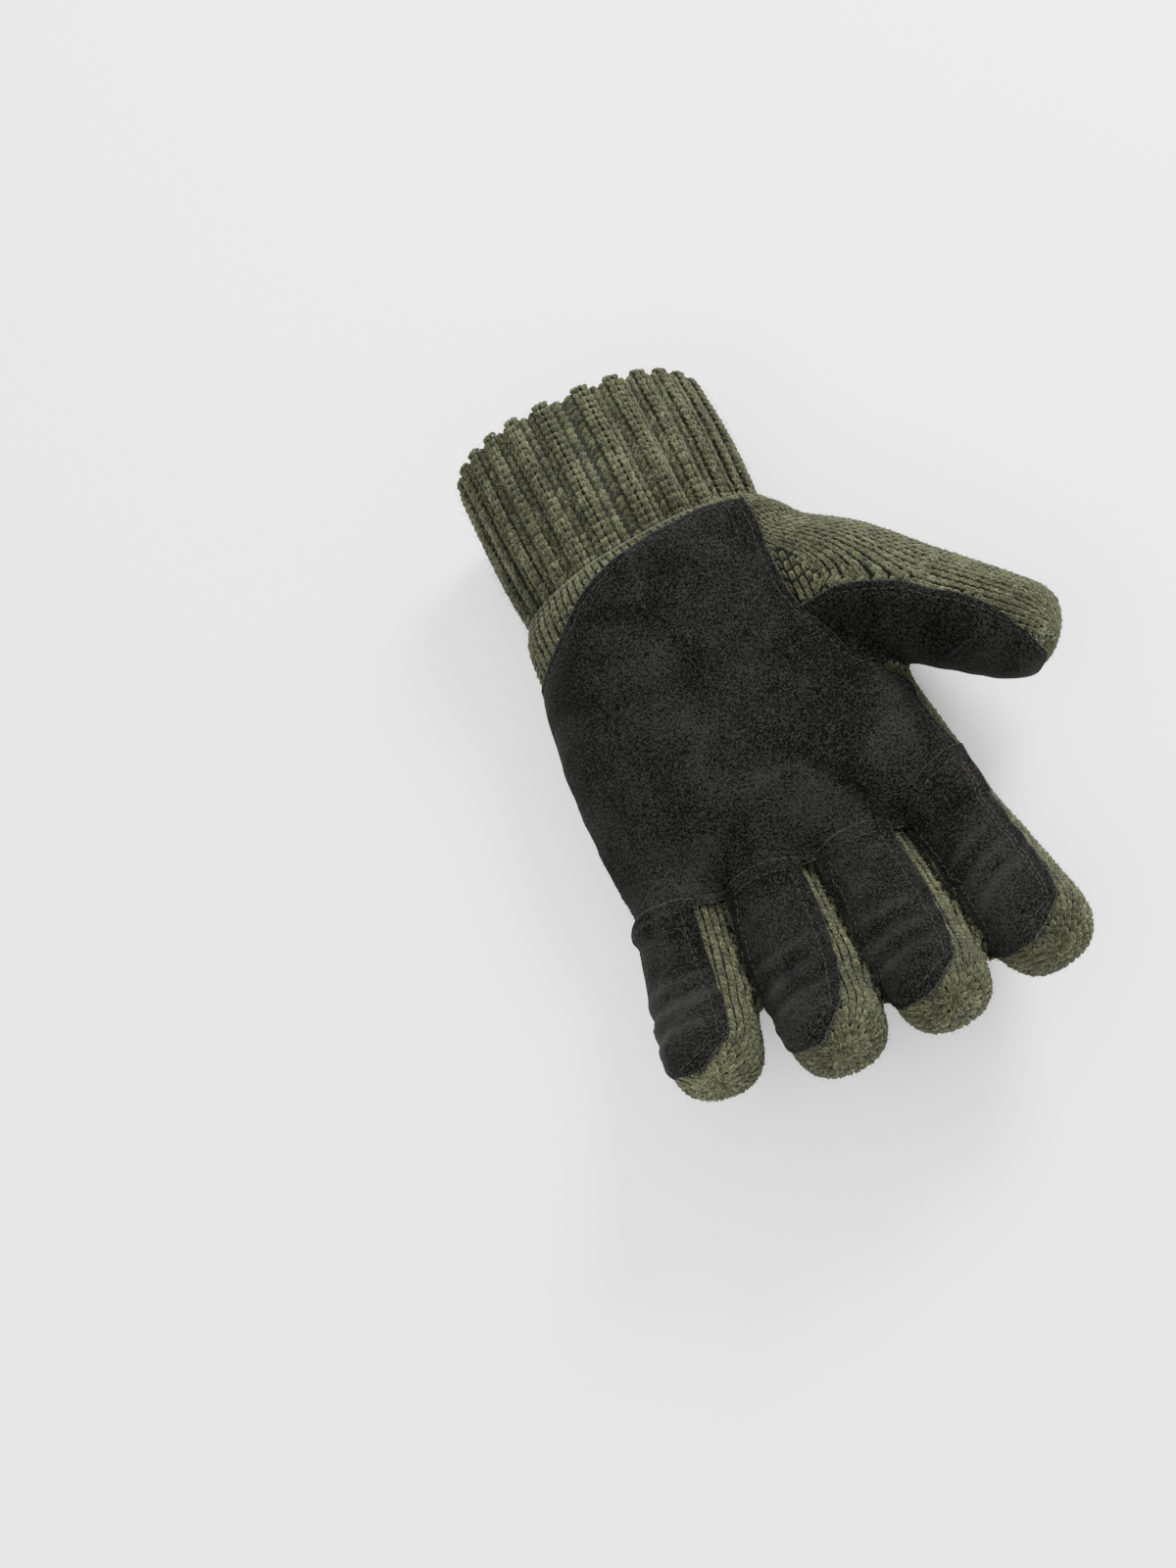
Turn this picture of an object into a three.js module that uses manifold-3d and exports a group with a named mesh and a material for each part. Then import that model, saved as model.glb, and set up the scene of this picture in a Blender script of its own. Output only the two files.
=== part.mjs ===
// Knitted winter work glove with a suede palm, for the left hand.
// The shell is thick ragg wool with a padded lining, knitted as a hand, four fingers and a thumb, with a
// ribbed cuff sewn on at the wrist. Six pieces of black suede are stitched over the palm side.
// It lies on its back, palm up, as filled as when it is worn, and is open for a hand at the cuff.
// Millimetres. +Z is up, out of the palm. Fingers point along -Y, the thumb towards +X, the cuff along +Y.
// The origin is on the flat where the back of the hand rests.
import * as THREE from "three";
import { mergeVertices } from "three/addons/utils/BufferGeometryUtils.js";
import Module from "manifold-3d";

const wasm = await Module();
wasm.setup();

// Walls and clearances
const HAND_WALL = 3.4;
const STALL_WALL = 3.0;
const CUFF_WALL = 3.2;
const SUEDE = 1.3;
const SEAT = 0.3;
const OVERRUN = 1; // how far a cut runs past what it cuts

// Hand, from the wrist seam to the line where the fingers part
const HAND_BREADTH = 106;
const HAND_LENGTH = 104;
const HAND_DEPTH = 42;
const WRIST_Y = 57;
const RESTED = 3;
const KNUCKLE_SLANT = 0.13;

// Ribbed cuff
const CUFF_LENGTH = 45;
const CUFF_WIDTH = 82;
const CUFF_DEPTH = 50;
const RIM_SLANT = 0.1;
const RIM_LEAN = 0.16;
const RIB_COUNT = 26;
const RIB_HEIGHT = 1.6;
const RIM_SCALLOP = 1.2;

// Fingers and thumb. Four fingers side by side are a little wider than the hand.
const FINGER_WIDTH = 0.264 * HAND_BREADTH;
const FINGER_DEPTH = 25;
const FINGER_LENGTH = 79;
const THUMB_WIDTH = 32;
const THUMB_DEPTH = 29;
const THUMB_LENGTH = 91;
const TIP_ROUND = 11;
const TIP_SQUARENESS = 2.4;

// Suede, which wraps over the sides of the hand down to a height above the table
const PATCH_SIDE_HEIGHT = 17.5;
const PATCH_HALF_ANGLE = 50;
const PATCH_TURN = 18;
const BARE_TIP_RINGS = 2;

// Facets
const HAND_SIDES = 40;
const STALL_SIDES = 18;
const BAND_SIDES = 6;
const STATION_STEP = 14;
const LINE_STEPS = 24;

// Sections of the hand from the wrist seam to the finger line. along is a share of HAND_LENGTH, left and
// right are shares of HAND_BREADTH, and deep is a share of HAND_DEPTH. The first row is the turned-in edge
// at the seam.
const HAND_ROWS = [
  { along: 1.0, left: -0.375, right: 0.39, deep: 1.03 },
  { along: 0.965, left: -0.397, right: 0.425, deep: 1.09 },
  { along: 0.84, left: -0.415, right: 0.465, deep: 1.05 },
  { along: 0.66, left: -0.458, right: 0.48, deep: 1.0 },
  { along: 0.48, left: -0.49, right: 0.485, deep: 0.96 },
  { along: 0.3, left: -0.505, right: 0.488, deep: 0.9 },
  { along: 0.12, left: -0.512, right: 0.505, deep: 0.83 },
  { along: 0.0, left: -0.51, right: 0.51, deep: 0.72 },
];

// Fingers. at is the middle of the finger where it leaves the hand, as a share of HAND_BREADTH. reach is a
// share of FINGER_LENGTH, and wide is a share of FINGER_WIDTH. splay turns the finger towards the thumb,
// and lift is its slope off the palm's plane where it starts and where it ends, in degrees.
const FINGERS = [
  { name: "index", at: 0.38, reach: 0.886, wide: 1.02, splay: 3.5, lift: 6, liftEnd: 46 },
  { name: "middle", at: 0.122, reach: 0.987, wide: 1.0, splay: -1.8, lift: 7, liftEnd: 50 },
  { name: "ring", at: -0.137, reach: 1.0, wide: 1.0, splay: -5.5, lift: 7, liftEnd: 50 },
  { name: "little", at: -0.392, reach: 0.848, wide: 0.97, splay: -12.5, lift: 5, liftEnd: 44 },
];
const FINGER_ROOT = 22; // how far it runs back into the hand
const FINGER_CUT = 0.4; // where the hand ends and the finger starts
const FINGER_SPREAD = 26; // how far it takes to turn square to itself
const FINGER_BASE_HEIGHT = 0.42; // its middle's height, a share of HAND_DEPTH

// Width and depth along a finger, as shares of its own. along is a share of its length.
const FINGER_ROWS = [
  { along: 0.0, wide: 0.94, deep: 1.04 },
  { along: 0.22, wide: 0.975, deep: 0.99 },
  { along: 0.48, wide: 1.01, deep: 1.0 },
  { along: 0.72, wide: 1.0, deep: 0.96 },
  { along: 1.0, wide: 0.93, deep: 0.88 },
];

// Thumb. It starts inside the heel of the hand, at shares of the hand's breadth, length and depth, and its
// soft side is turned towards the index finger. cut is the share of its length where the hand ends and it
// starts. soft is the direction that its soft side faces, as an angle round its section.
const THUMB_START = { across: 0.31, along: 0.84, high: 0.55 };
const THUMB = { name: "thumb", splay: 39.5, lift: 4, liftEnd: 9, turn: -48, cut: 0.56, soft: 140 };
const THUMB_ROWS = [
  { along: 0.0, wide: 1.14, deep: 1.0 },
  { along: 0.25, wide: 1.3, deep: 1.2 },
  { along: 0.5, wide: 1.16, deep: 1.1 },
  { along: 0.75, wide: 1.02, deep: 1.0 },
  { along: 1.0, wide: 0.86, deep: 0.86 },
];

const WOOL = new THREE.MeshStandardMaterial({ color: 0x5b6347, roughness: 0.95, metalness: 0 });
const CUFF_WOOL = new THREE.MeshStandardMaterial({ color: 0x5e664a, roughness: 0.95, metalness: 0 });
const BLACK_SUEDE = new THREE.MeshStandardMaterial({ color: 0x1d1d1e, roughness: 0.9, metalness: 0 });

const radians = THREE.MathUtils.degToRad;

// A table's column at a share of the way along, read with a smooth curve between the rows.
function readRows(rows, column, share) {
  const order = [...rows].sort((a, b) => a.along - b.along);
  const points = order.map((row) => new THREE.Vector2(row.along, row[column]));
  if (share <= points[0].x) return points[0].y;
  for (let i = 1; i < points.length; i++) {
    if (share > points[i].x) continue;
    const before = points[Math.max(0, i - 2)];
    const from = points[i - 1];
    const to = points[i];
    const after = points[Math.min(points.length - 1, i + 1)];
    const span = to.x - from.x;
    const t = (share - from.x) / span;
    const slopeFrom = ((to.y - before.y) / (to.x - before.x)) * span;
    const slopeTo = ((after.y - from.y) / (after.x - from.x)) * span;
    const t2 = t * t;
    const t3 = t2 * t;
    const towards = 3 * t2 - 2 * t3;
    return (1 - towards) * from.y + towards * to.y + (t3 - 2 * t2 + t) * slopeFrom + (t3 - t2) * slopeTo;
  }
  return points[points.length - 1].y;
}

// A point of a rounded section, where 2 would be an ellipse and more is squarer.
const SQUARENESS = 2.35;
function roundedPoint(angle, halfWide, halfDeep) {
  const power = 2 / SQUARENESS;
  const c = Math.cos(angle);
  const s = Math.sin(angle);
  return new THREE.Vector2(
    halfWide * Math.sign(c) * Math.abs(c) ** power,
    halfDeep * Math.sign(s) * Math.abs(s) ** power,
  );
}

// A closed solid through rings of as many points each, with a flat or pointed cap at each end.
function loft(rings) {
  const sides = rings[0].length;
  const points = rings.flat();
  const faces = [];
  for (let i = 0; i + 1 < rings.length; i++) {
    for (let j = 0; j < sides; j++) {
      const k = (j + 1) % sides;
      const low = i * sides;
      const high = low + sides;
      faces.push(low + j, low + k, high + k, low + j, high + k, high + j);
    }
  }
  const ends = [0, (rings.length - 1) * sides];
  ends.forEach((start, end) => {
    const middle = new THREE.Vector3();
    for (let j = 0; j < sides; j++) middle.addScaledVector(points[start + j], 1 / sides);
    const centre = points.push(middle) - 1;
    for (let j = 0; j < sides; j++) {
      const k = (j + 1) % sides;
      if (end) faces.push(start + j, start + k, centre);
      else faces.push(start + k, start + j, centre);
    }
  });
  return solidOf(points, faces);
}

// A closed solid between two sheets of as many points each, walled round their edges.
function thickSheet(over, under) {
  const across = over[0].length;
  const points = [...over.flat(), ...under.flat()];
  const lower = over.length * across;
  const faces = [];
  const quad = (a, b, c, d) => faces.push(a, b, c, a, c, d);
  for (let i = 0; i + 1 < over.length; i++) {
    for (let j = 0; j + 1 < across; j++) {
      const a = i * across + j;
      const b = a + across;
      quad(a, a + 1, b + 1, b);
      quad(lower + a, lower + b, lower + b + 1, lower + a + 1);
    }
  }
  const walls = (a, b) => quad(b, a, lower + a, lower + b);
  for (let j = 0; j + 1 < across; j++) {
    walls(j, j + 1);
    walls(lower - across + j + 1, lower - across + j);
  }
  for (let i = 0; i + 1 < over.length; i++) {
    walls((i + 1) * across, i * across);
    walls(i * across + across - 1, (i + 1) * across + across - 1);
  }
  return solidOf(points, faces);
}

// A closed solid from points and triangle corners, turned to face out.
function solidOf(points, faces) {
  const flat = new THREE.BufferGeometry();
  const corners = points.flatMap((p) => [p.x, p.y, p.z]);
  flat.setAttribute("position", new THREE.Float32BufferAttribute(corners, 3));
  flat.setIndex(faces);
  const merged = mergeVertices(flat, 1e-4);
  const triVerts = [];
  const index = merged.index.array;
  for (let i = 0; i < index.length; i += 3) {
    const [a, b, c] = [index[i], index[i + 1], index[i + 2]];
    if (a !== b && b !== c && a !== c) triVerts.push(a, b, c);
  }
  const vertProperties = merged.attributes.position.array;
  const asSolid = (turned) =>
    new wasm.Manifold(new wasm.Mesh({ numProp: 3, vertProperties, triVerts: new Uint32Array(turned) }));
  const made = asSolid(triVerts);
  if (made.volume() > 0) return made;
  return asSolid(triVerts.reverse());
}

// The y of the line where the fingers part, which slants back towards the little finger.
function fingerLineY(x) {
  return WRIST_Y - HAND_LENGTH - KNUCKLE_SLANT * x;
}

// The hand's outside, grown by so much all round. lowest is the height that its underside is pressed flat
// at, and atWrist and atFingers are how far its two ends lie from the seam and from the finger line.
function handBlock(grow, lowest, atWrist, atFingers) {
  const rings = HAND_ROWS.map((row, i) => {
    const left = row.left * HAND_BREADTH - grow;
    const right = row.right * HAND_BREADTH + grow;
    const top = row.deep * HAND_DEPTH + grow;
    const bottom = -RESTED - grow;
    let end = 0;
    if (i === 0) end = atWrist;
    if (i === HAND_ROWS.length - 1) end = atFingers;
    return Array.from({ length: HAND_SIDES }, (_, j) => {
      const p = roundedPoint((2 * Math.PI * j) / HAND_SIDES, (right - left) / 2, (top - bottom) / 2);
      const x = (left + right) / 2 + p.x;
      const z = Math.max((top + bottom) / 2 + p.y, lowest);
      const y = WRIST_Y - (1 - row.along) * HAND_LENGTH - (1 - row.along) * KNUCKLE_SLANT * x + end;
      return new THREE.Vector3(x, y, z);
    });
  });
  return loft(rings);
}

// The middle line of a finger or the thumb, and how its section is turned, at a distance s from its start.
// A finger's sections are square to the finger line at its start, and square to the finger after its
// spread.
function stallFrame(stall, s) {
  const { clamp, lerp, smoothstep } = THREE.MathUtils;
  const liftAt = (d) => lerp(stall.lift, stall.liftEnd, clamp(d / stall.length, 0, 1));
  const heading = (plan, lift) =>
    new THREE.Vector3(
      Math.sin(radians(plan)) * Math.cos(radians(lift)),
      -Math.cos(radians(plan)) * Math.cos(radians(lift)),
      Math.sin(radians(lift)),
    );
  const at = stall.start.clone();
  for (let i = 0; i < LINE_STEPS; i++) {
    at.addScaledVector(heading(stall.splay, liftAt(((i + 0.5) / LINE_STEPS) * s)), s / LINE_STEPS);
  }
  const settled = stall.spread > 0 ? smoothstep(s, 0, stall.spread) : 1;
  const plan = lerp(-THREE.MathUtils.radToDeg(Math.atan(KNUCKLE_SLANT)), stall.splay, settled);
  const normal = heading(plan, liftAt(s) * settled);
  const flatSide = new THREE.Vector3(Math.cos(radians(plan)), Math.sin(radians(plan)), 0);
  const flatPalm = flatSide.clone().cross(normal).negate();
  const turn = radians(stall.turn ?? 0);
  const side = flatSide.clone().multiplyScalar(Math.cos(turn)).addScaledVector(flatPalm, Math.sin(turn));
  const palm = flatPalm.clone().multiplyScalar(Math.cos(turn)).addScaledVector(flatSide, -Math.sin(turn));
  return { at, side, palm };
}

// Half width and half depth at a distance s from the start, grown by so much, and rounded off at the tip.
function stallHalves(stall, s, grow) {
  const share = s / stall.length;
  const end = stall.length + grow;
  const past = THREE.MathUtils.clamp((s - (end - TIP_ROUND - grow)) / (TIP_ROUND + grow), 0, 1);
  const round = Math.max(1 - past ** TIP_SQUARENESS, 0) ** (1 / TIP_SQUARENESS);
  return {
    wide: ((readRows(stall.rows, "wide", share) * stall.wide) / 2 + grow) * round,
    deep: ((readRows(stall.rows, "deep", share) * stall.deep) / 2 + grow) * round,
  };
}

function stallRing(stall, s, grow) {
  const { at, side, palm } = stallFrame(stall, s);
  const half = stallHalves(stall, s, grow);
  return Array.from({ length: STALL_SIDES }, (_, j) => {
    const p = roundedPoint((2 * Math.PI * j) / STALL_SIDES, half.wide, half.deep);
    return at.clone().addScaledVector(side, p.x).addScaledVector(palm, p.y);
  });
}

// Where a finger or the thumb has its sections: even steps to where its tip starts, then closer ones round it
const TIP_SHARES = [0.34, 0.62, 0.82, 0.95, 1];
function stationsOf(stall, from, to, grow) {
  const tipStart = stall.length - TIP_ROUND;
  const evenEnd = Math.min(to, tipStart);
  const steps = Math.ceil((evenEnd - from) / STATION_STEP);
  const stations = Array.from({ length: steps + 1 }, (_, i) => from + ((evenEnd - from) * i) / steps);
  if (to > tipStart) TIP_SHARES.forEach((share) => stations.push(tipStart + share * (TIP_ROUND + grow)));
  return stations;
}

// Part of a finger or the thumb as a solid, from one distance to another, grown by so much. It closes at
// the tip where it runs to Infinity.
function stallBlock(stall, from, to, grow) {
  return loft(stationsOf(stall, from, to, grow).map((s) => stallRing(stall, s, grow)));
}

const fingers = FINGERS.map((finger) => {
  const x = finger.at * HAND_BREADTH;
  return {
    ...finger,
    start: new THREE.Vector3(x, fingerLineY(x), FINGER_BASE_HEIGHT * HAND_DEPTH),
    length: finger.reach * FINGER_LENGTH,
    spread: FINGER_SPREAD,
    wide: finger.wide * FINGER_WIDTH,
    deep: finger.wide * FINGER_DEPTH,
    rows: FINGER_ROWS,
    cut: FINGER_CUT,
    root: FINGER_ROOT,
  };
});
const thumb = {
  ...THUMB,
  start: new THREE.Vector3(
    THUMB_START.across * HAND_BREADTH,
    WRIST_Y - (1 - THUMB_START.along) * HAND_LENGTH,
    THUMB_START.high * HAND_DEPTH,
  ),
  length: THUMB_LENGTH,
  spread: 0,
  wide: THUMB_WIDTH,
  deep: THUMB_DEPTH,
  rows: THUMB_ROWS,
  cut: THUMB.cut * THUMB_LENGTH,
  root: 0,
};
const stalls = [...fingers, thumb];

// The hand with the roots of its fingers and thumb, with each root running on by reach past its cut.
function bodyBlock(grow, lowest, atWrist, atFingers, reach, roots = stalls) {
  return roots.reduce(
    (body, stall) => body.add(stallBlock(stall, -stall.root - grow, stall.cut + reach, grow)),
    handBlock(grow, lowest, atWrist, atFingers),
  );
}

function meshOf(solid, name, material) {
  const made = solid.getMesh();
  const geometry = new THREE.BufferGeometry();
  geometry.setAttribute("position", new THREE.Float32BufferAttribute(made.vertProperties, 3));
  geometry.setIndex(Array.from(made.triVerts));
  geometry.computeVertexNormals();
  const mesh = new THREE.Mesh(geometry, material);
  mesh.name = name;
  return mesh;
}

// Knitted hand
function knitHand() {
  const outside = bodyBlock(0, 0, 0, 0, 0);
  const inside = bodyBlock(-HAND_WALL, HAND_WALL, HAND_WALL, HAND_WALL, HAND_WALL);
  return outside.subtract(inside);
}

// Knitted finger or thumb, a tube that is open at the hand and closed at the tip
function knitStall(stall) {
  const from = stall.cut + SEAT;
  const outside = stallBlock(stall, from, Infinity, 0);
  const inside = stallBlock(stall, from - OVERRUN, Infinity, -STALL_WALL);
  return outside.subtract(inside);
}

// Ribbed cuff. along is a share of its length, left and right are shares of CUFF_WIDTH, deep is a share of
// CUFF_DEPTH, and rib is a share of the ribs' height.
const CUFF_ROWS = [
  { along: 0.0, left: -0.475, right: 0.475, deep: 0.84, rib: 0.35 },
  { along: 0.15, left: -0.475, right: 0.48, deep: 0.9, rib: 0.9 },
  { along: 0.6, left: -0.47, right: 0.5, deep: 0.98, rib: 1.0 },
  { along: 1.0, left: -0.46, right: 0.505, deep: 1.0, rib: 1.0 },
];
function cuffBlock(grow, lowest, ribHeight, sides, atSeam, atRim) {
  const rings = CUFF_ROWS.map((row, i) => {
    const left = row.left * CUFF_WIDTH - grow;
    const right = row.right * CUFF_WIDTH + grow;
    const top = row.deep * CUFF_DEPTH + grow;
    const bottom = -RESTED - grow;
    return Array.from({ length: sides }, (_, j) => {
      const angle = (2 * Math.PI * (j + 0.5)) / sides;
      const rib = Math.cos(RIB_COUNT * angle) * ribHeight * row.rib;
      const p = roundedPoint(angle, (right - left) / 2 + rib, (top - bottom) / 2 + rib);
      let y = WRIST_Y + SEAT + row.along * (CUFF_LENGTH - RIM_SLANT * p.x + RIM_LEAN * p.y);
      if (i === 0) y += atSeam;
      if (i === CUFF_ROWS.length - 1) y += atRim + (Math.sign(rib) * RIM_SCALLOP) / 2;
      return new THREE.Vector3((left + right) / 2 + p.x, y, Math.max((top + bottom) / 2 + p.y, lowest));
    });
  });
  return loft(rings);
}
function ribCuff() {
  const outside = cuffBlock(0, 0, RIB_HEIGHT / 2, RIB_COUNT * 4, 0, 0);
  const inside = cuffBlock(-CUFF_WALL, CUFF_WALL, 0, RIB_COUNT * 2, -CUFF_WALL, CUFF_WALL);
  return outside.subtract(inside);
}

// Suede on the palm and thumb. An outline's points are across, a share of HAND_BREADTH, and along, a share
// of the hand's length from the finger line to the wrist seam. Points past the hand's edge let it wrap
// over the side.
const PALM_OUTLINE = [
  { across: -0.7, along: 0.74 },
  { across: -0.42, along: 0.8 },
  { across: -0.29, along: 0.87 },
  { across: -0.175, along: 0.935 },
  { across: -0.02, along: 0.975 },
  { across: 0.23, along: 0.982 },
  { across: 0.315, along: 0.96 },
  { across: 0.312, along: 0.85 },
  { across: 0.302, along: 0.72 },
  { across: 0.3, along: 0.6 },
  { across: 0.33, along: 0.51 },
  { across: 0.362, along: 0.41 },
  { across: 0.455, along: 0.33 },
  { across: 0.45, along: 0.26 },
  { across: 0.462, along: 0.15 },
  { across: 0.48, along: -0.003 },
  { across: -0.7, along: -0.003 },
];
const THUMB_OUTLINE = [
  { across: 0.3, along: 0.64 },
  { across: 0.4, along: 0.625 },
  { across: 0.475, along: 0.59 },
  { across: 0.63, along: 0.5 },
  { across: 0.725, along: 0.42 },
  { across: 0.775, along: 0.31 },
  { across: 0.79, along: 0.08 },
  { across: 0.66, along: 0.22 },
  { across: 0.535, along: 0.355 },
  { across: 0.48, along: 0.37 },
  { across: 0.3, along: 0.37 },
];
function outlinePrism(outline) {
  const corners = outline.map(({ across, along }) => {
    const x = across * HAND_BREADTH;
    return new THREE.Vector2(x, WRIST_Y - (1 - along) * (HAND_LENGTH + KNUCKLE_SLANT * x));
  });
  const depth = FINGER_LENGTH + HAND_DEPTH;
  const geometry = new THREE.ExtrudeGeometry(new THREE.Shape(corners), { depth, bevelEnabled: false });
  geometry.translate(0, 0, PATCH_SIDE_HEIGHT);
  geometry.deleteAttribute("normal");
  geometry.deleteAttribute("uv");
  const merged = mergeVertices(geometry);
  const points = [];
  for (let i = 0; i < merged.attributes.position.count; i++) {
    points.push(new THREE.Vector3().fromBufferAttribute(merged.attributes.position, i));
  }
  return solidOf(points, Array.from(merged.index.array));
}

// A skin of suede just clear of the wool, over the hand and the roots of its fingers and thumb
function suedeSkin(roots, reach) {
  const over = bodyBlock(SEAT + SUEDE, -OVERRUN, OVERRUN, 0, reach, roots);
  const under = bodyBlock(SEAT, -2 * OVERRUN, 2 * OVERRUN, -OVERRUN, reach + OVERRUN, roots);
  return over.subtract(under);
}
const palmPrism = outlinePrism(PALM_OUTLINE);
function palmPatch() {
  return suedeSkin(stalls, 0).intersect(palmPrism);
}
function thumbPatch() {
  const keptClear = palmPrism.add(palmPrism.translate(SEAT, SEAT, 0));
  const { at, side, palm } = stallFrame(thumb, thumb.cut);
  const soft = side.multiplyScalar(Math.cos(radians(thumb.soft)));
  soft.addScaledVector(palm, Math.sin(radians(thumb.soft)));
  return suedeSkin([thumb], thumb.length)
    .intersect(outlinePrism(THUMB_OUTLINE))
    .subtract(keptClear)
    .trimByPlane(soft.toArray(), soft.dot(at));
}

// Suede band along the palm side of a finger, from the hand over most of the tip
function fingerPatch(stall) {
  const stations = stationsOf(stall, stall.cut + SEAT, Infinity, 0).slice(0, -BARE_TIP_RINGS);
  const sheetAt = (grow) =>
    stations.map((s) => {
      const { at, side, palm } = stallFrame(stall, s);
      const half = stallHalves(stall, s, grow);
      return Array.from({ length: BAND_SIDES + 1 }, (_, j) => {
        const angle = radians(90 + PATCH_TURN + PATCH_HALF_ANGLE * ((2 * j) / BAND_SIDES - 1));
        const p = roundedPoint(angle, half.wide, half.deep);
        return at.clone().addScaledVector(side, p.x).addScaledVector(palm, p.y);
      });
    });
  return thickSheet(sheetAt(SEAT + SUEDE), sheetAt(SEAT));
}

const glove = new THREE.Group();
glove.add(meshOf(ribCuff(), "rib_cuff", CUFF_WOOL));
glove.add(meshOf(knitHand(), "knit_hand", WOOL));
stalls.forEach((stall) => glove.add(meshOf(knitStall(stall), `knit_${stall.name}`, WOOL)));
glove.add(meshOf(palmPatch(), "palm_patch", BLACK_SUEDE));
glove.add(meshOf(thumbPatch(), "thumb_patch", BLACK_SUEDE));
fingers.forEach((finger) => glove.add(meshOf(fingerPatch(finger), `${finger.name}_patch`, BLACK_SUEDE)));

export default glove;
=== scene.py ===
import math

import bmesh
import bpy
import numpy as np
from mathutils import Matrix, Vector
from mathutils.bvhtree import BVHTree
from mathutils.kdtree import KDTree


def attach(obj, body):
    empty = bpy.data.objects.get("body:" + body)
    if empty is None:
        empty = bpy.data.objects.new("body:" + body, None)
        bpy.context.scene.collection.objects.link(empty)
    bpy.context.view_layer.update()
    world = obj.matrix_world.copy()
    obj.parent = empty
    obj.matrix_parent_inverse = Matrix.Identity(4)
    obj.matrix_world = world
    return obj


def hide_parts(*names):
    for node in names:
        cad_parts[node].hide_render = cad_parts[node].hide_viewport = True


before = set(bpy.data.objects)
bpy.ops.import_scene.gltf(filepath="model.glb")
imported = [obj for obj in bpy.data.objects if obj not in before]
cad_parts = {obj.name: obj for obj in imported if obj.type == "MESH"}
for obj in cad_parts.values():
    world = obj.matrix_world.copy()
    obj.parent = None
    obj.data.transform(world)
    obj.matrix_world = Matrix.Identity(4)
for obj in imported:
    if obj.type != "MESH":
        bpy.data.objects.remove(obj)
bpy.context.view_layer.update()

chance = np.random.default_rng(41)
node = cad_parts

# The form that the wool is knitted to: a padded left hand lying on its back, with the fingers curling up.
# It has the same sizes as the solids. It is swelled a little as cloth, so that the webs and the heel of the
# thumb run together softly, and it is only a guide: every stitch and every piece of suede is laid on it.
hand_breadth, hand_length, hand_depth = 0.106, 0.104, 0.042
finger_reach, finger_width, finger_depth, finger_height = 0.079, 0.02798, 0.025, 0.42
thumb_reach, thumb_width, thumb_depth, tip_round = 0.091, 0.032, 0.029, 0.011
wrist_y, rested, knuckle_slant, squareness = 0.057, 0.003, 0.13, 2.35
line_steps = 240

# along (a share of the length from the finger line to the wrist), left, right, deep
hand_sections = np.array([
    (0.0, -0.51, 0.51, 0.72),
    (0.12, -0.512, 0.505, 0.83),
    (0.3, -0.505, 0.488, 0.9),
    (0.48, -0.49, 0.485, 0.96),
    (0.66, -0.458, 0.48, 1.0),
    (0.84, -0.415, 0.465, 1.05),
    (0.965, -0.397, 0.425, 1.09),
    (1.0, -0.375, 0.39, 1.03),
])
# along (a share of the length from root to tip), wide, deep
finger_sections = np.array([
    (0.0, 0.94, 1.04),
    (0.22, 0.975, 0.99),
    (0.48, 1.01, 1.0),
    (0.72, 1.0, 0.96),
    (1.0, 0.93, 0.88),
])
thumb_sections = np.array([
    (0.0, 1.14, 1.0),
    (0.25, 1.3, 1.2),
    (0.5, 1.16, 1.1),
    (0.75, 1.02, 1.0),
    (1.0, 0.86, 0.86),
])


def read(table, column, share):
    """A table's column at shares of the way along, on a smooth curve through its rows."""
    x = table[:, 0]
    y = table[:, column]
    slope = np.gradient(y, x)
    share = np.clip(share, x[0], x[-1])
    i = np.clip(np.searchsorted(x, share) - 1, 0, len(x) - 2)
    span = x[i + 1] - x[i]
    t = (share - x[i]) / span
    towards = 3 * t ** 2 - 2 * t ** 3
    bend = (t ** 3 - 2 * t ** 2 + t) * slope[i] + (t ** 3 - t ** 2) * slope[i + 1]
    return (1 - towards) * y[i] + towards * y[i + 1] + span * bend


def eased(value, low, high):
    """Eases from 0 at the low value to 1 at the high one."""
    share = np.clip((value - low) / (high - low), 0, 1)
    return share * share * (3 - 2 * share)


def rounded(angle, wide, deep):
    """A point of a rounded section, a little squarer than an ellipse."""
    c, s = np.cos(angle), np.sin(angle)
    power = 2 / squareness
    return wide * np.sign(c) * np.abs(c) ** power, deep * np.sign(s) * np.abs(s) ** power


def hand_skin(along, angle):
    """Points of the hand's outside, and the middle of its section there."""
    left = read(hand_sections, 1, along) * hand_breadth
    right = read(hand_sections, 2, along) * hand_breadth
    top = read(hand_sections, 3, along) * hand_depth
    across, up = rounded(angle, (right - left) / 2, (top + rested) / 2)
    x = (left + right) / 2 + across
    z = np.maximum((top - rested) / 2 + up, 0)
    y = wrist_y - (1 - along) * (hand_length + knuckle_slant * x)
    middle_y = wrist_y - (1 - along) * (hand_length + knuckle_slant * (left + right) / 2)
    middle = np.stack(np.broadcast_arrays((left + right) / 2, middle_y, (top - rested) / 2 + 0 * x), -1)
    return np.stack([x, y, z], -1), middle


def stall(at, length, wide, deep, sections, splay, lift, lift_end, turn=0.0, root=0.022, spread=0.026):
    """A finger or the thumb: its middle line, and the table of its sections."""
    steps = np.linspace(0, length, line_steps + 1)
    slope = np.radians(lift + (lift_end - lift) * steps / length)
    plan = math.radians(splay)
    heading = np.stack([math.sin(plan) * np.cos(slope), -math.cos(plan) * np.cos(slope), np.sin(slope)], -1)
    hops = (heading[1:] + heading[:-1]) / 2 * (length / line_steps)
    line = np.vstack([[at], at + np.cumsum(hops, 0)])
    return dict(line=line, heading=heading, length=length, wide=wide, deep=deep, sections=sections,
                splay=splay, lift=lift, lift_end=lift_end, turn=math.radians(turn), root=root, spread=spread)


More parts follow.
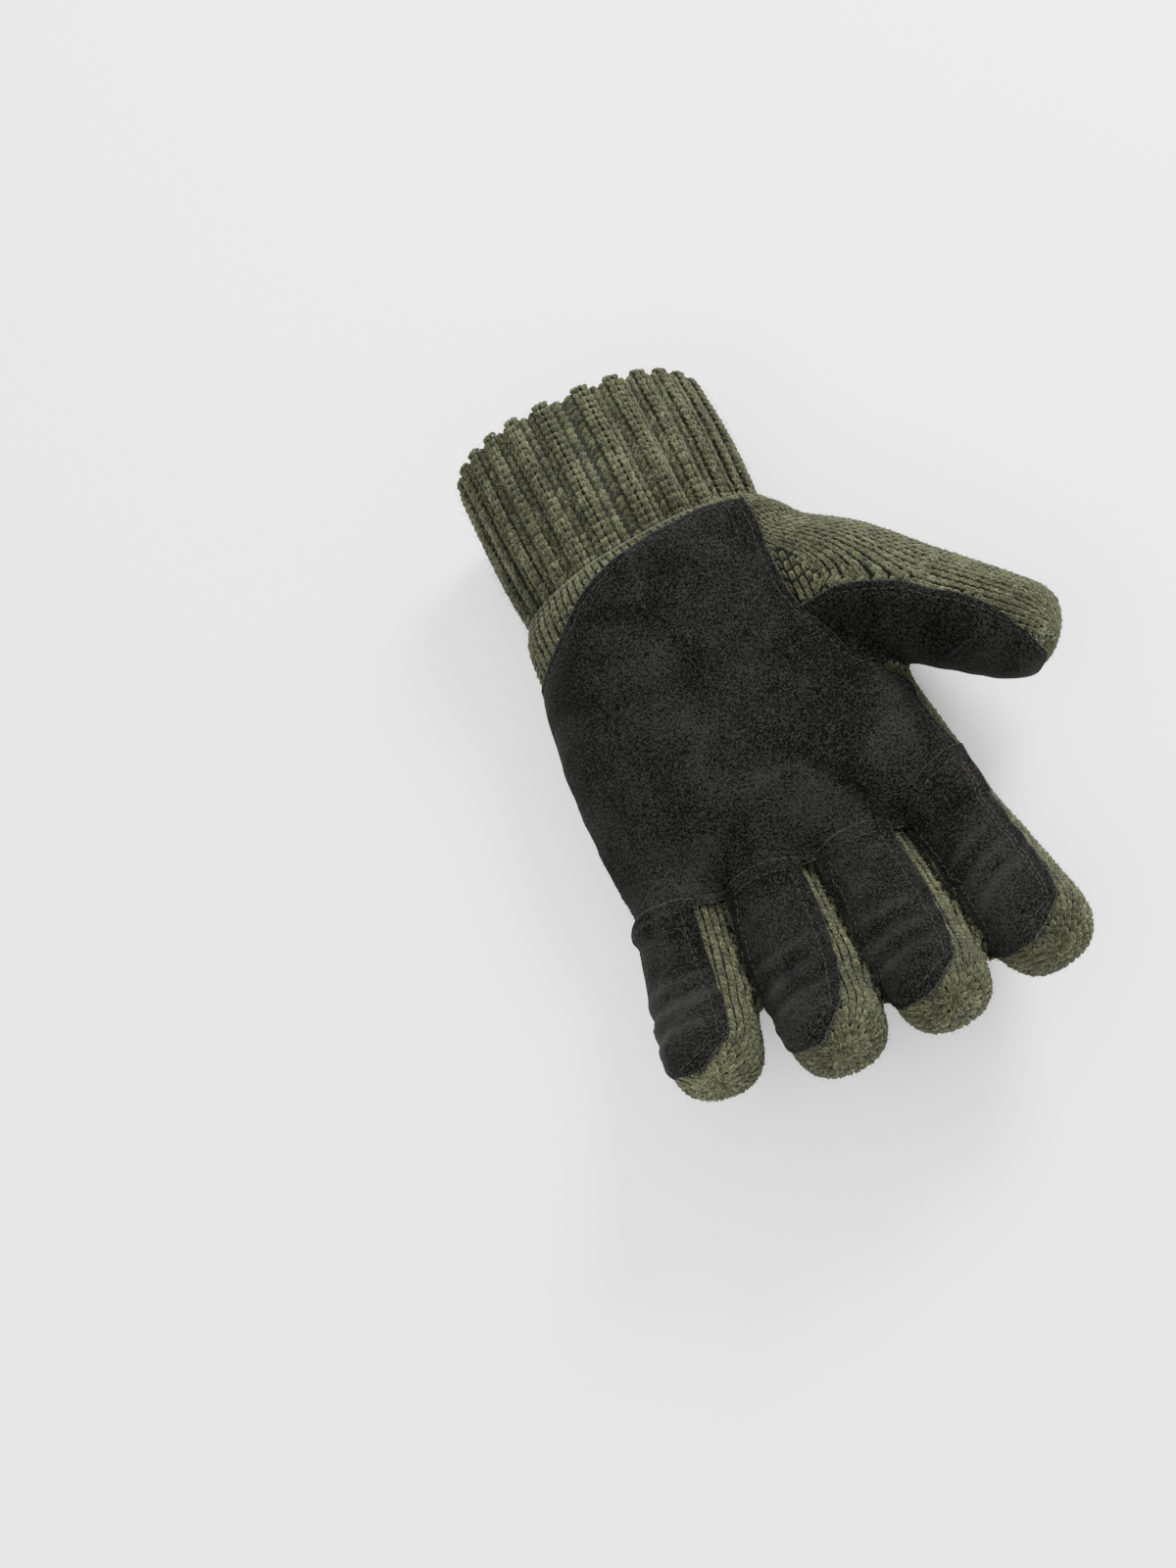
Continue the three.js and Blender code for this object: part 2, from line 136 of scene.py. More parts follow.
def at_walks(line, walk, stops):
    """Points of a line at these stops, where walk says how far along it each of its own points is."""
    return np.stack([np.interp(stops, walk, axis) for axis in line.T], -1)


def stall_frame(part, s):
    """Where the middle line is at distances s, and the directions of its side, palm and run there."""
    s = np.asarray(s, float)
    within = np.clip(s, 0, part["length"]) / part["length"]
    at = at_walks(part["line"], np.arange(line_steps + 1), within * line_steps)
    at += np.minimum(s, 0)[..., None] * part["heading"][0]
    at += np.maximum(s - part["length"], 0)[..., None] * part["heading"][-1]
    settled = eased(s, 0, part["spread"]) if part["spread"] else np.ones_like(s)
    squared = -math.degrees(math.atan(knuckle_slant))
    plan = np.radians(squared + (part["splay"] - squared) * settled)
    slope = np.radians((part["lift"] + (part["lift_end"] - part["lift"]) * within) * settled)
    run = np.stack([np.sin(plan) * np.cos(slope), -np.cos(plan) * np.cos(slope), np.sin(slope)], -1)
    flat_side = np.stack([np.cos(plan), np.sin(plan), 0 * plan], -1)
    flat_palm = -np.cross(flat_side, run)
    side = flat_side * math.cos(part["turn"]) + flat_palm * math.sin(part["turn"])
    palm = flat_palm * math.cos(part["turn"]) - flat_side * math.sin(part["turn"])
    return at, side, palm, run


def stall_skin(part, s, angle, tip_power=2.4):
    """Points of a finger's or the thumb's outside, and the middle of its section there."""
    at, side, palm, _ = stall_frame(part, s)
    share = s / part["length"]
    past = np.clip((s - part["length"] + tip_round) / tip_round, 0, 1)
    closing = np.maximum(1 - past ** tip_power, 0) ** (1 / tip_power)
    wide = read(part["sections"], 1, share) * part["wide"] / 2 * closing
    deep = read(part["sections"], 2, share) * part["deep"] / 2 * closing
    across, up = rounded(angle, wide, deep)
    return at + side * across[..., None] + palm * up[..., None], at


def finger(at, reach, wide, splay, lift, lift_end):
    """A finger, by its place across the hand and its length and width beside the ring finger's."""
    x = at * hand_breadth
    start = np.array([x, wrist_y - hand_length - knuckle_slant * x, finger_height * hand_depth])
    return stall(start, reach * finger_reach, wide * finger_width, wide * finger_depth, finger_sections,
                 splay, lift, lift_end)


thumb_start = np.array([0.31 * hand_breadth, wrist_y - 0.16 * hand_length, 0.55 * hand_depth])
# fingers: place across the hand, length, width, degrees sideways, and upwards at the root and at the tip
stalls = {
    "index": finger(0.38, 0.886, 1.02, 3.5, 6, 46),
    "middle": finger(0.122, 0.987, 1.0, -1.8, 7, 50),
    "ring": finger(-0.137, 1.0, 1.0, -5.5, 7, 50),
    "little": finger(-0.392, 0.848, 0.97, -12.5, 5, 44),
    "thumb": stall(thumb_start, thumb_reach, thumb_width, thumb_depth, thumb_sections,
                   splay=39.5, lift=4, lift_end=9, turn=-48, root=0.0, spread=0.0),
}


def new_piece(name, points, faces, materials=()):
    """A mesh object from points and faces, shaded smooth."""
    mesh = bpy.data.meshes.new(name)
    mesh.from_pydata(np.asarray(points).reshape(-1, 3).tolist(), [], [list(f) for f in faces])
    mesh.update()
    mesh.shade_smooth()
    piece = bpy.data.objects.new(name, mesh)
    bpy.context.scene.collection.objects.link(piece)
    for material in materials:
        mesh.materials.append(material)
    return piece


def ring_faces(rings, sides):
    """Faces between closed rings of as many points each."""
    faces = []
    for i in range(rings - 1):
        for j in range(sides):
            k = (j + 1) % sides
            faces.append((i * sides + j, i * sides + k, (i + 1) * sides + k, (i + 1) * sides + j))
    return faces


def set_in_place(piece):
    """Replaces a piece's mesh by the one that its modifiers give, and takes the modifiers off."""
    shown = piece.evaluated_get(bpy.context.evaluated_depsgraph_get())
    mesh = bpy.data.meshes.new_from_object(shown)
    piece.modifiers.clear()
    piece.data = mesh


def walk_along(line):
    """How far each point of a line is from its first, along the line."""
    return np.concatenate([[0], np.cumsum(np.linalg.norm(np.diff(line, axis=0), axis=-1))])


def places_of(mesh):
    """A mesh's points, one to a row."""
    found = np.zeros(len(mesh.vertices) * 3)
    mesh.vertices.foreach_get("co", found)
    return found.reshape(-1, 3)


def tree_of(mesh):
    """A mesh made ready to find where lines meet it."""
    return BVHTree.FromPolygons([v.co for v in mesh.vertices], [p.vertices[:] for p in mesh.polygons])


around = np.linspace(0, 2 * math.pi, 64, endpoint=False)
form_points, form_faces = [], []


def add_to_form(rings):
    """Adds a tube, closed at both ends, to the form's points and faces."""
    start = sum(len(p) for p in form_points)
    count, sides = rings.shape[:2]
    form_points.append(rings.reshape(-1, 3))
    form_faces.extend([tuple(start + v for v in f) for f in ring_faces(count, sides)])
    form_faces.append([start + j for j in range(sides)][::-1])
    form_faces.append([start + (count - 1) * sides + j for j in range(sides)])


hand_rings, _ = hand_skin(np.linspace(0, 1, 30)[:, None], around[None, :])
past_wrist = hand_rings[-1:] + np.array([0, 0.012, 0])
add_to_form(np.concatenate([hand_rings, past_wrist]))
tip_shares = np.array([0.2, 0.4, 0.58, 0.74, 0.86, 0.94, 0.985, 0.999])
for part in stalls.values():
    before_tip = np.linspace(-part["root"], part["length"] - tip_round, 24)
    run = np.concatenate([before_tip, part["length"] - tip_round * (1 - tip_shares)])
    rings, _ = stall_skin(part, *np.meshgrid(run, around, indexing="ij"))
    add_to_form(rings)

form = new_piece("form", np.vstack(form_points), form_faces)
melt = form.modifiers.new("melt", "REMESH")
melt.mode = "VOXEL"
melt.voxel_size = 0.0022
ease = form.modifiers.new("ease", "SMOOTH")
ease.factor = 0.5
ease.iterations = 7
set_in_place(form)

# Pressure from inside swells the form as cloth, in so many steps and by so much at most.
swell_steps, swell_most = 20, 0.0008
still = places_of(form.data)
swell = form.modifiers.new("swell", "CLOTH")
swell.settings.quality = 5
swell.settings.mass = 0.4
swell.settings.tension_stiffness = 12
swell.settings.compression_stiffness = 12
swell.settings.bending_stiffness = 0.4
swell.settings.use_pressure = True
swell.settings.uniform_pressure_force = 4
swell.settings.effector_weights.gravity = 0
swell.point_cache.frame_start = 1
swell.point_cache.frame_end = swell_steps
for count in range(1, swell_steps + 1):
    bpy.context.scene.frame_set(count)
set_in_place(form)
bpy.context.scene.frame_set(1)
move = places_of(form.data) - still
far = np.linalg.norm(move, axis=1, keepdims=True)
move *= np.minimum(1, swell_most / np.maximum(far, 1e-9))
settled = still + move
settled[:, 2] = np.maximum(settled[:, 2], 0)
form.data.vertices.foreach_set("co", settled.ravel())
form.data.update()

form_tree = tree_of(form.data)

# The knit of the hand, fingers and thumb: stockinette in a thick ragg wool of pale and dark olive plies. Each
# stitch shows as two legs in a V, with its point towards the cuff, and the legs dive under the stitch above.
# The columns fan out over the ball of the thumb, and are gathered at each tip.
wale, course, leg_radius = 0.00235, 0.0021, 0.00056
under_skin, pressed = 0.00055, 0.0006
widest, tallest = 2.2 * wale, 1.6 * course


def leave_form(middles, outward, most):
    """Where lines from the middles leave the form in the outward directions, and its normals there."""
    found = np.full(middles.shape, np.nan)
    normals = np.zeros(middles.shape)
    for i in np.ndindex(*middles.shape[:-1]):
        hit, normal, _, _ = form_tree.ray_cast(Vector(middles[i]), Vector(outward[i]), most[i])
        if hit:
            found[i] = hit
            normals[i] = normal
    return found, normals


def unit(directions):
    """Directions of length one."""
    return directions / np.maximum(np.linalg.norm(directions, axis=-1, keepdims=True), 1e-12)


def lay(skin, middles, reach=1.25, spare=0.0025):
    """Lays a grid of skin points on the form, straight out from the middles."""
    middles = np.broadcast_to(middles, skin.shape)
    outward = skin - middles
    far = np.linalg.norm(outward, axis=-1)
    return leave_form(middles, unit(outward), far * reach + spare)


def grid_directions(points, normals, run):
    """Directions across and along a grid of points that lie on the form, square to its normals."""
    ahead = np.full(points.shape, np.nan)
    ahead[1:-1] = points[2:] - points[:-2]
    ahead[0] = points[1] - points[0]
    ahead[-1] = points[-1] - points[-2]
    lost = np.isnan(ahead).any(-1)
    ahead[lost] = np.broadcast_to(run, points.shape)[lost]
    side = np.roll(points, -1, 1) - np.roll(points, 1, 1)
    lost_side = np.isnan(side).any(-1)
    side[lost_side] = np.cross(ahead, normals)[lost_side]
    outward = unit(np.cross(side, ahead))
    turned = np.sum(outward * normals, -1, keepdims=True)
    outward = np.where(np.abs(turned) > 0.5, outward * np.sign(turned), normals)
    ahead = unit(ahead - outward * np.sum(ahead * outward, -1, keepdims=True))
    return np.cross(ahead, outward), ahead, outward


def strand_faces(rings, sides):
    """Faces of a strand: a point, so many rings of points, and a point at the other end."""
    faces = []
    last = rings * sides + 1
    for k in range(sides):
        faces.append((0, 1 + (k + 1) % sides, 1 + k))
        faces.append((last, last - sides + k, last - sides + (k + 1) % sides))
    for i in range(rings - 1):
        for k in range(sides):
            a, b = 1 + i * sides + k, 1 + i * sides + (k + 1) % sides
            faces.append((a, b, b + sides, a + sides))
    return faces


def yarn_leg(path, radii, sides=5):
    """A short length of yarn, pointed at both ends. Its path is in stitch widths, heights and metres."""
    path = np.asarray(path, float)
    points = [path[0]]
    run = np.gradient(path * np.array([wale, course, 1]), axis=0)
    for i in range(1, len(path) - 1):
        t = unit(run[i])
        a = unit(np.cross(t, (0, 0, 1)))
        b = np.cross(a, t)
        for k in range(sides):
            angle = 2 * math.pi * k / sides + 0.4
            off = (a * math.cos(angle) + b * math.sin(angle)) * radii[i]
            points.append(path[i] + off / np.array([wale, course, 1]))
    points.append(path[-1])
    return np.array(points), strand_faces(len(path) - 2, sides)


def v_leg(hand):
    """One leg of a V stitch, on the left (-1) or the right (1)."""
    path = [(hand * 0.03, -0.40, -0.0006), (hand * 0.085, -0.14, 0.00014), (hand * 0.15, 0.34, 0.00048),
            (hand * 0.215, 0.80, 0.00005), (hand * 0.27, 1.10, -0.0009)]
    return yarn_leg(path, [0, leg_radius * 0.88, leg_radius, leg_radius * 0.9, 0])


sunk_yarn = yarn_leg([(-0.16, -0.50, -0.0012), (-0.09, -0.10, -0.0005), (0.0, 0.34, -0.0003),
                      (0.09, 0.80, -0.0005), (0.16, 1.20, -0.0012)],
                     [0, leg_radius * 1.35, leg_radius * 1.5, leg_radius * 1.35, 0])


def mark(piece, name, values):
    """Stores a number at each point of a piece, for its material to read."""
    attribute = piece.data.attributes.new(name, "FLOAT", "POINT")
    attribute.data.foreach_set("value", values.astype(np.float32))


def knit(name, spots, legs, material):
    """A piece of stitches. spots are places, across, ahead and outward directions, widths and heights."""
    places, across, ahead, outward, widths, heights = spots
    count = len(places)
    all_points, all_faces, flecks = [], [], []
    start = 0
    fleck_of_stitch = chance.normal(0, 1, count)
    # by hand, no two legs lean, sit, fill out or lie quite alike
    for points, faces in legs:
        lean = chance.normal(0, 0.035, (count, 1, 1))
        shift = chance.normal(0, 0.022, (count, 1, 2))
        fat = 1 + chance.normal(0, 0.06, (count, 1, 1))
        u = points[None, :, 0:1] + shift[..., 0:1] + lean * points[None, :, 1:2]
        v = points[None, :, 1:2] + shift[..., 1:2]
        n = points[None, :, 2:3] * fat + chance.normal(0, 0.00005, (count, 1, 1))
        laid = (places[:, None] + across[:, None] * u * widths[:, None, None]
                + ahead[:, None] * v * heights[:, None, None] + outward[:, None] * n)
        low = laid[..., 2] < pressed
        laid[..., 2][low] = pressed * np.exp(laid[..., 2][low] / pressed - 1)
        all_points.append(laid.reshape(-1, 3))
        step = len(points)
        for corners in (3, 4):
            table = np.array([f for f in faces if len(f) == corners])
            shifted = table[None] + (start + np.arange(count) * step)[:, None, None]
            all_faces.extend(shifted.reshape(-1, corners).tolist())
        fleck = fleck_of_stitch * 0.5 + chance.normal(0, 1, count)
        flecks.append(np.repeat(fleck, step))
        start += count * step
    piece = new_piece(name, np.vstack(all_points), all_faces, [material])
    mark(piece, "fleck", np.clip(0.5 + 0.2 * np.concatenate(flecks), 0, 1))
    return piece


suede_nodes = ["palm_patch", "thumb_patch", "index_patch", "middle_patch", "ring_patch", "little_patch"]
suede_trees = [tree_of(node[suede_name].data) for suede_name in suede_nodes]
cover_margin, cover_start, cover_reach = 1.7, 0.001, 0.0065


def under_suede(place, outward, across, ahead):
    """Whether a stitch is wholly covered by suede, also at six points round it."""
    for turn in range(6):
        angle = turn * math.pi / 3
        beside = (across * math.cos(angle) + ahead * math.sin(angle)) * wale * cover_margin
        near = place + beside - outward * cover_start
        if not any(tree.ray_cast(Vector(near), Vector(outward), cover_reach)[0] for tree in suede_trees):
            return False
    return True


def gather_spots(points, normals, run, keep):
    """Turns a grid of points into stitch places, leaving out those that are lost or covered by suede."""
    across, ahead, outward = grid_directions(points, normals, run)
    widths = np.linalg.norm(np.roll(points, -1, 1) - np.roll(points, 1, 1), axis=-1) / 2
    heights = np.full(widths.shape, np.nan)
    heights[:-1] = np.linalg.norm(points[1:] - points[:-1], axis=-1)
    heights[-1] = heights[-2]
    widths = np.where(np.isnan(widths), wale, np.minimum(widths, widest))
    heights = np.where(np.isnan(heights), course, np.minimum(heights, tallest))
    keep = keep & ~np.isnan(points).any(-1)
    chosen = []
    for i, j in zip(*np.nonzero(keep)):
        if not under_suede(points[i, j], outward[i, j], across[i, j], ahead[i, j]):
            chosen.append((i, j))
    rows, columns = np.array(chosen).T
    places = points[rows, columns] - outward[rows, columns] * under_skin
    return (places, across[rows, columns], ahead[rows, columns], outward[rows, columns],
            widths[rows, columns], heights[rows, columns]), rows, columns


def add_noise(tree, scale, detail):
    """A noise pattern that keeps its place on the object."""
    place = tree.nodes.new("ShaderNodeTexCoord")
    noise = tree.nodes.new("ShaderNodeTexNoise")
    noise.inputs["Scale"].default_value = scale
    noise.inputs["Detail"].default_value = detail
    tree.links.new(place.outputs["Object"], noise.inputs["Vector"])
    return noise


def add_share(tree, source, weight, rest):
    """A share of a pattern, added to the rest: a number, or what such a sum gives."""
    total = tree.nodes.new("ShaderNodeMath")
    total.operation = "MULTIPLY_ADD"
    total.inputs[1].default_value = weight
    tree.links.new(source.outputs["Fac"], total.inputs[0])
    if isinstance(rest, float):
        total.inputs[2].default_value = rest
    else:
        tree.links.new(rest.outputs[0], total.inputs[2])
    return total


def add_values(tree, name):
    """What is stored at each point of the piece under a name."""
    values = tree.nodes.new("ShaderNodeAttribute")
    values.attribute_name = name
    return values


def add_shades(tree, total, stops):
    """Colours the shader by a sum, from the first stop's colour to the last one's."""
    shades = tree.nodes.new("ShaderNodeValToRGB")
    ramp = shades.color_ramp.elements
    while len(ramp) < len(stops):
        ramp.new(0.5)
    for stop, (position, colour) in zip(ramp, stops):
        stop.position = position
        stop.color = (*colour, 1)
    tree.links.new(total.outputs[0], shades.inputs["Fac"])
    tree.links.new(shades.outputs["Color"], tree.nodes["Principled BSDF"].inputs["Base Color"])


def add_relief(tree, pattern, strength, distance, under=None):
    """Fine relief after a pattern, on top of the relief under it."""
    relief = tree.nodes.new("ShaderNodeBump")
    relief.inputs["Strength"].default_value = strength
    relief.inputs["Distance"].default_value = distance
    tree.links.new(pattern.outputs["Fac"], relief.inputs["Height"])
    if under:
        tree.links.new(under.outputs["Normal"], relief.inputs["Normal"])
    tree.links.new(relief.outputs["Normal"], tree.nodes["Principled BSDF"].inputs["Normal"])
    return relief


def new_material(name, **sockets):
    """A material with these values on its shader's own sockets."""
    material = bpy.data.materials.new(name)
    material.use_nodes = True
    for socket, value in sockets.items():
        shader = material.node_tree.nodes["Principled BSDF"]
        shader.inputs[socket.replace("_", " ")].default_value = value
    return material


def ragg_wool(name, dark, middle, pale):
    """Ragg wool: flecks of pale and dark ply, with fine hairs in relief."""
    material = new_material(name, Roughness=0.95, Specular_IOR_Level=0.15, Sheen_Weight=0.12,
                            Sheen_Roughness=0.6, Sheen_Tint=(0.75, 0.8, 0.6, 1))
    tree = material.node_tree
    total = add_share(tree, add_values(tree, "fleck"), 0.2, -0.02)
    total = add_share(tree, add_noise(tree, 1500, 4), 0.66, total)
    total = add_share(tree, add_noise(tree, 55, 2), 0.3, total)
    add_shades(tree, total, [(0.42, dark), (0.58, middle), (0.82, pale)])
    add_relief(tree, add_noise(tree, 2600, 2), 0.5, 0.0003)
    return material


wool = ragg_wool("olive_ragg_wool", (0.0040, 0.0046, 0.0020), (0.0205, 0.0226, 0.0100), (0.090, 0.094, 0.048))


def even_angles(ring, turns, wales):
    """The angles at which wales stand evenly round a ring of points."""
    walked = walk_along(ring)
    return np.interp(np.arange(wales) / wales * walked[-1], walked, turns)


# The hand's columns stop at the thumb's side, and where they run too wide in the notch beside the thumb.
hand_wales, thumb_column_x, notch_x, notch_half = 98, 0.056, 0.032, 0.012
turns = np.linspace(0, 2 * math.pi, 721)
reference, reference_middle = hand_skin(np.full(721, 0.62), turns)
laid_reference, _ = lay(reference, reference_middle, 2.2)
hand_angles = even_angles(laid_reference, turns, hand_wales)
hand_rows = np.linspace(1.0, 0.004, int(hand_length / course))
skin, middles = hand_skin(hand_rows[:, None], hand_angles[None, :])
points, normals = lay(skin, middles, 2.2)
thumb = stalls["thumb"]
thumb_cut = 0.56 * thumb["length"]
past_cut = np.nan_to_num(np.sum((points - thumb["line"][0]) * thumb["heading"][0], -1) - thumb_cut, nan=1.0)
clear_of_thumb = (past_cut < 0) | (points[..., 0] < thumb_column_x)
spots, rows, columns = gather_spots(points, normals, np.array([0, -1.0, 0]), clear_of_thumb)
upper = np.sin(hand_angles[columns]) >= 0
even = ~upper | (spots[4] < 1.4 * wale) | (np.abs(spots[0][:, 0] - notch_x) > notch_half)
spots = [a[even] for a in spots]
upper = upper[even]
v_stitch = [v_leg(-1), v_leg(1)]
knitted = []
laid = [spots[:4]]
for half_name, half in (("hand_stitches_palm_side", upper), ("hand_stitches_back_side", ~upper)):
    knitted.append(knit(half_name, [a[half] for a in spots], v_stitch, wool))

# Each finger and the thumb is a tube with columns of its own, drawn together at the tip.
stall_wales, extra_thumb_wales, petals = 34, 6, 9
turns = np.linspace(0, 2 * math.pi, 361)
petal_turns = np.arange(petals) / petals * 2 * math.pi
for name, part in stalls.items():
    length = part["length"]
    fine = np.linspace(0, length - 0.00005, 800)
    edge, edge_middle = stall_skin(part, fine, np.full(800, math.pi / 2))
    half_deep = np.linalg.norm(edge - edge_middle, axis=-1)
    walked = np.concatenate([[0], np.cumsum(np.hypot(np.diff(fine), np.diff(half_deep)))])
    begin = np.interp(thumb_cut, fine, walked) if name == "thumb" else course * 0.4
    run = np.interp(np.arange(begin, walked[-1] - 0.0006, course), walked, fine)
    wales = stall_wales + (extra_thumb_wales if name == "thumb" else 0)
    full, _ = stall_skin(part, np.full(361, length * 0.4), turns)
    angles = even_angles(full, turns, wales)
    skin, middles = stall_skin(part, *np.meshgrid(run, angles, indexing="ij"))
    points, normals = lay(skin, middles)
    _, _, _, heading = stall_frame(part, run)
    # towards the tip every second column stops, and then every second of the rest
    around_ring = np.nanmean(np.linalg.norm(np.roll(points, -1, 1) - points, axis=-1), axis=1)
    skip = np.where(around_ring < 0.33 * wale, 4, np.where(around_ring < 0.62 * wale, 2, 1))
    keep = (np.arange(wales)[None, :] % skip[:, None]) == 0
    spots, rows, columns = gather_spots(points, normals, heading[:, None], keep)
    spots = list(spots)
    spots[4] = spots[4] * skip[rows] * (1 + 0.08 * eased(run[rows], length - 0.02, length - 0.006))
    # the end of the yarn draws the last stitches together
    last, side, palm, heading = stall_frame(part, np.array(length))
    hit, normal, _, _ = form_tree.ray_cast(Vector(last - heading * 0.008), Vector(heading), 0.02)
    radial = side * np.cos(petal_turns)[:, None] + palm * np.sin(petal_turns)[:, None]
    upright = np.broadcast_to(np.array(normal), radial.shape)
    radial = unit(radial - upright * np.sum(radial * upright, -1, keepdims=True))
    for closing, reach in ((0.0001, 1.25), (0.0011, 1.15)):
        petal = np.array(hit) + radial * closing - upright * (under_skin - 0.0001)
        petal = petal + radial * course * reach
        rim = [petal, np.cross(-radial, upright), -radial, upright,
               np.full(petals, wale * (0.55 + closing * 250)), np.full(petals, course * reach)]
        spots = [np.concatenate([a, b]) for a, b in zip(spots, rim)]
    laid.append(spots[:4])
    knitted.append(knit(f"{name}_stitches", spots, v_stitch, wool))

# Stitches picked up at the roots of the thumb and fingers close what the columns leave open there.
laid_places, laid_across, laid_ahead, laid_outward = (np.concatenate(kind) for kind in zip(*laid))
near_stitch = KDTree(len(laid_places))
for i, place in enumerate(laid_places):
    near_stitch.insert(place, i)
near_stitch.balance()
picked = []
picked_apart = wale * 0.75


def pick_up(place, outward, ahead):
    """Adds a stitch at a place on the form where none is near, running as the ones beside it do."""
    _, _, far = near_stitch.find(place)
    if far < picked_apart or any((place - other[0]).length < picked_apart for other in picked):
        return
    if ahead is None:
        ahead = laid_ahead[[i for _, i, _ in near_stitch.find_n(place, 8)]].mean(0)
    ahead = unit(ahead - outward * np.dot(ahead, outward))
    across = np.cross(ahead, outward)
    if not under_suede(np.array(place), outward, across, ahead):
        picked.append((place.copy(), across, ahead, outward))


notch_left, notch_right, notch_high, notch_low, notch_lean = 0.027, 0.048, 0.042, 0.004, 0.1
for x in np.arange(notch_left, notch_right, wale * 0.95):
    for y in np.arange(notch_high, notch_low, -course * 0.8):
        above = Vector((x - notch_lean * (notch_high - y), y, 0.1))
        hit, normal, _, _ = form_tree.ray_cast(above, Vector((0, 0, -1)))
        pick_up(hit, np.array(normal), np.array([-notch_lean, -1.0, 0]))
for vertex in form.data.vertices:
    if vertex.co.y < wrist_y - 0.004:
        pick_up(vertex.co, np.array(vertex.normal), None)
places, across, ahead, outward = (np.array(kind) for kind in zip(*picked))
places = places - outward * (under_skin + 0.0001)
evenly_sized = np.full(len(places), wale), np.full(len(places), course)
knitted.append(knit("root_stitches", (places, across, ahead, outward, *evenly_sized), v_stitch, wool))

loose_fibre = ragg_wool("loose_wool_fibre", (0.014, 0.0155, 0.008), (0.055, 0.059, 0.032),
                        (0.17, 0.175, 0.115))


def yarn_hairs(name, spots, count):
    """Loose fibre ends that stand off the yarn: thin flat strands, each bent once and tapered."""
    places, across, ahead, outward = spots
    pick = chance.integers(0, len(places), count)
    turn = chance.uniform(0, 2 * math.pi, (count, 1))
    lean = chance.uniform(0.1, 0.8, (count, 1))
    bend = chance.normal(0, 0.6, (count, 1))
    length = chance.uniform(0.0010, 0.0032, (count, 1))
    thick = chance.uniform(0.000025, 0.000045, (count, 1))
    flat = across[pick] * np.cos(turn) + ahead[pick] * np.sin(turn)
    flat_bent = across[pick] * np.cos(turn + bend) + ahead[pick] * np.sin(turn + bend)
    root = places[pick] + outward[pick] * (under_skin + 0.0004) + flat_bent * wale * 0.3
    middle = root + (flat * np.cos(lean) + outward[pick] * np.sin(lean)) * length * 0.5
    tip = middle + (flat_bent * np.cos(lean * 0.4) + outward[pick] * np.sin(lean * 0.4)) * length * 0.5
    flank = np.cross(flat, outward[pick]) * thick
    strand = np.stack([root - flank, root + flank, middle - flank, middle + flank, tip], 1)
    strand[..., 2] = np.maximum(strand[..., 2], 0.00005)
    first = np.arange(count)[:, None] * 5
    faces = (first + np.array([0, 1, 3, 2])).tolist() + (first + np.array([2, 3, 4])).tolist()
    piece = new_piece(name, strand.reshape(-1, 3), faces, [loose_fibre])
    mark(piece, "fleck", np.repeat(chance.uniform(0, 1, count), 5))
    return piece


laid_spots = laid_places, laid_across, laid_ahead, laid_outward
knitted.append(yarn_hairs("hand_yarn_hairs", laid_spots, count=17000))
for piece in knitted:
    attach(piece, "root")

# The wool shell behind the stitches: the hand, fingers and thumb in one, a padded wall with a brushed lining
# inside, open at the wrist. It shows only as painted shade between the stitches, and as the lining in the
# mouth.
lining = ragg_wool("brushed_lining", (0.012, 0.013, 0.008), (0.040, 0.043, 0.026), (0.10, 0.104, 0.07))
# painted shade: a darker copy of the olive wool, for the shadow between and under the stitches
painted_shade_wool = ragg_wool("painted_shade_between_stitches", (0.0025, 0.003, 0.0015), (0.008, 0.0092, 0.0045),
                      (0.026, 0.028, 0.015))
shell_sunk, shell_wall = 0.0009, 0.0024

shell = bpy.data.objects.new("wool_shell", form.data.copy())
bpy.context.scene.collection.objects.link(shell)
shell.data.materials.append(painted_shade_wool)
shell.data.materials.append(lining)
shrink = shell.modifiers.new("shrink", "DISPLACE")
shrink.strength = -shell_sunk
shrink.mid_level = 0
set_in_place(shell)
cut_shell = bmesh.new()
cut_shell.from_mesh(shell.data)
everything = cut_shell.verts[:] + cut_shell.edges[:] + cut_shell.faces[:]
bmesh.ops.bisect_plane(cut_shell, geom=everything, plane_co=(0, wrist_y + 0.001, 0), plane_no=(0, 1, 0),
                       clear_outer=True)
cut_shell.to_mesh(shell.data)
cut_shell.free()
wall = shell.modifiers.new("wall", "SOLIDIFY")
wall.thickness = shell_wall
wall.offset = -1
wall.material_offset = 1
wall.use_rim = True
set_in_place(shell)
shell.data.shade_smooth()
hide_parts("knit_hand", "knit_index", "knit_middle", "knit_ring", "knit_little", "knit_thumb")
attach(shell, "root")

# The cuff: a tube of rib knit, two stitches proud and two sunk, that draws in at the wrist and flares to a
# scalloped rim. It is knitted double, so its ribs turn over the rim and run on down the inside.
cuff_length, cuff_width, cuff_depth, cuff_wall = 0.045, 0.082, 0.050, 0.0032
rib_count, rib_height, cuff_sunk, cuff_leg_width = 26, 0.0009, 0.0008, 1.2
cuff_lip = math.pi * cuff_wall / 2

# along (a share of the length from the seam to the rim), left, right, deep, rib
cuff_sections = np.array([
    (0.0, -0.475, 0.475, 0.84, 0.3),
    (0.15, -0.475, 0.48, 0.9, 0.9),
    (0.6, -0.47, 0.5, 0.98, 1.0),
    (1.0, -0.46, 0.505, 1.0, 0.5),
])


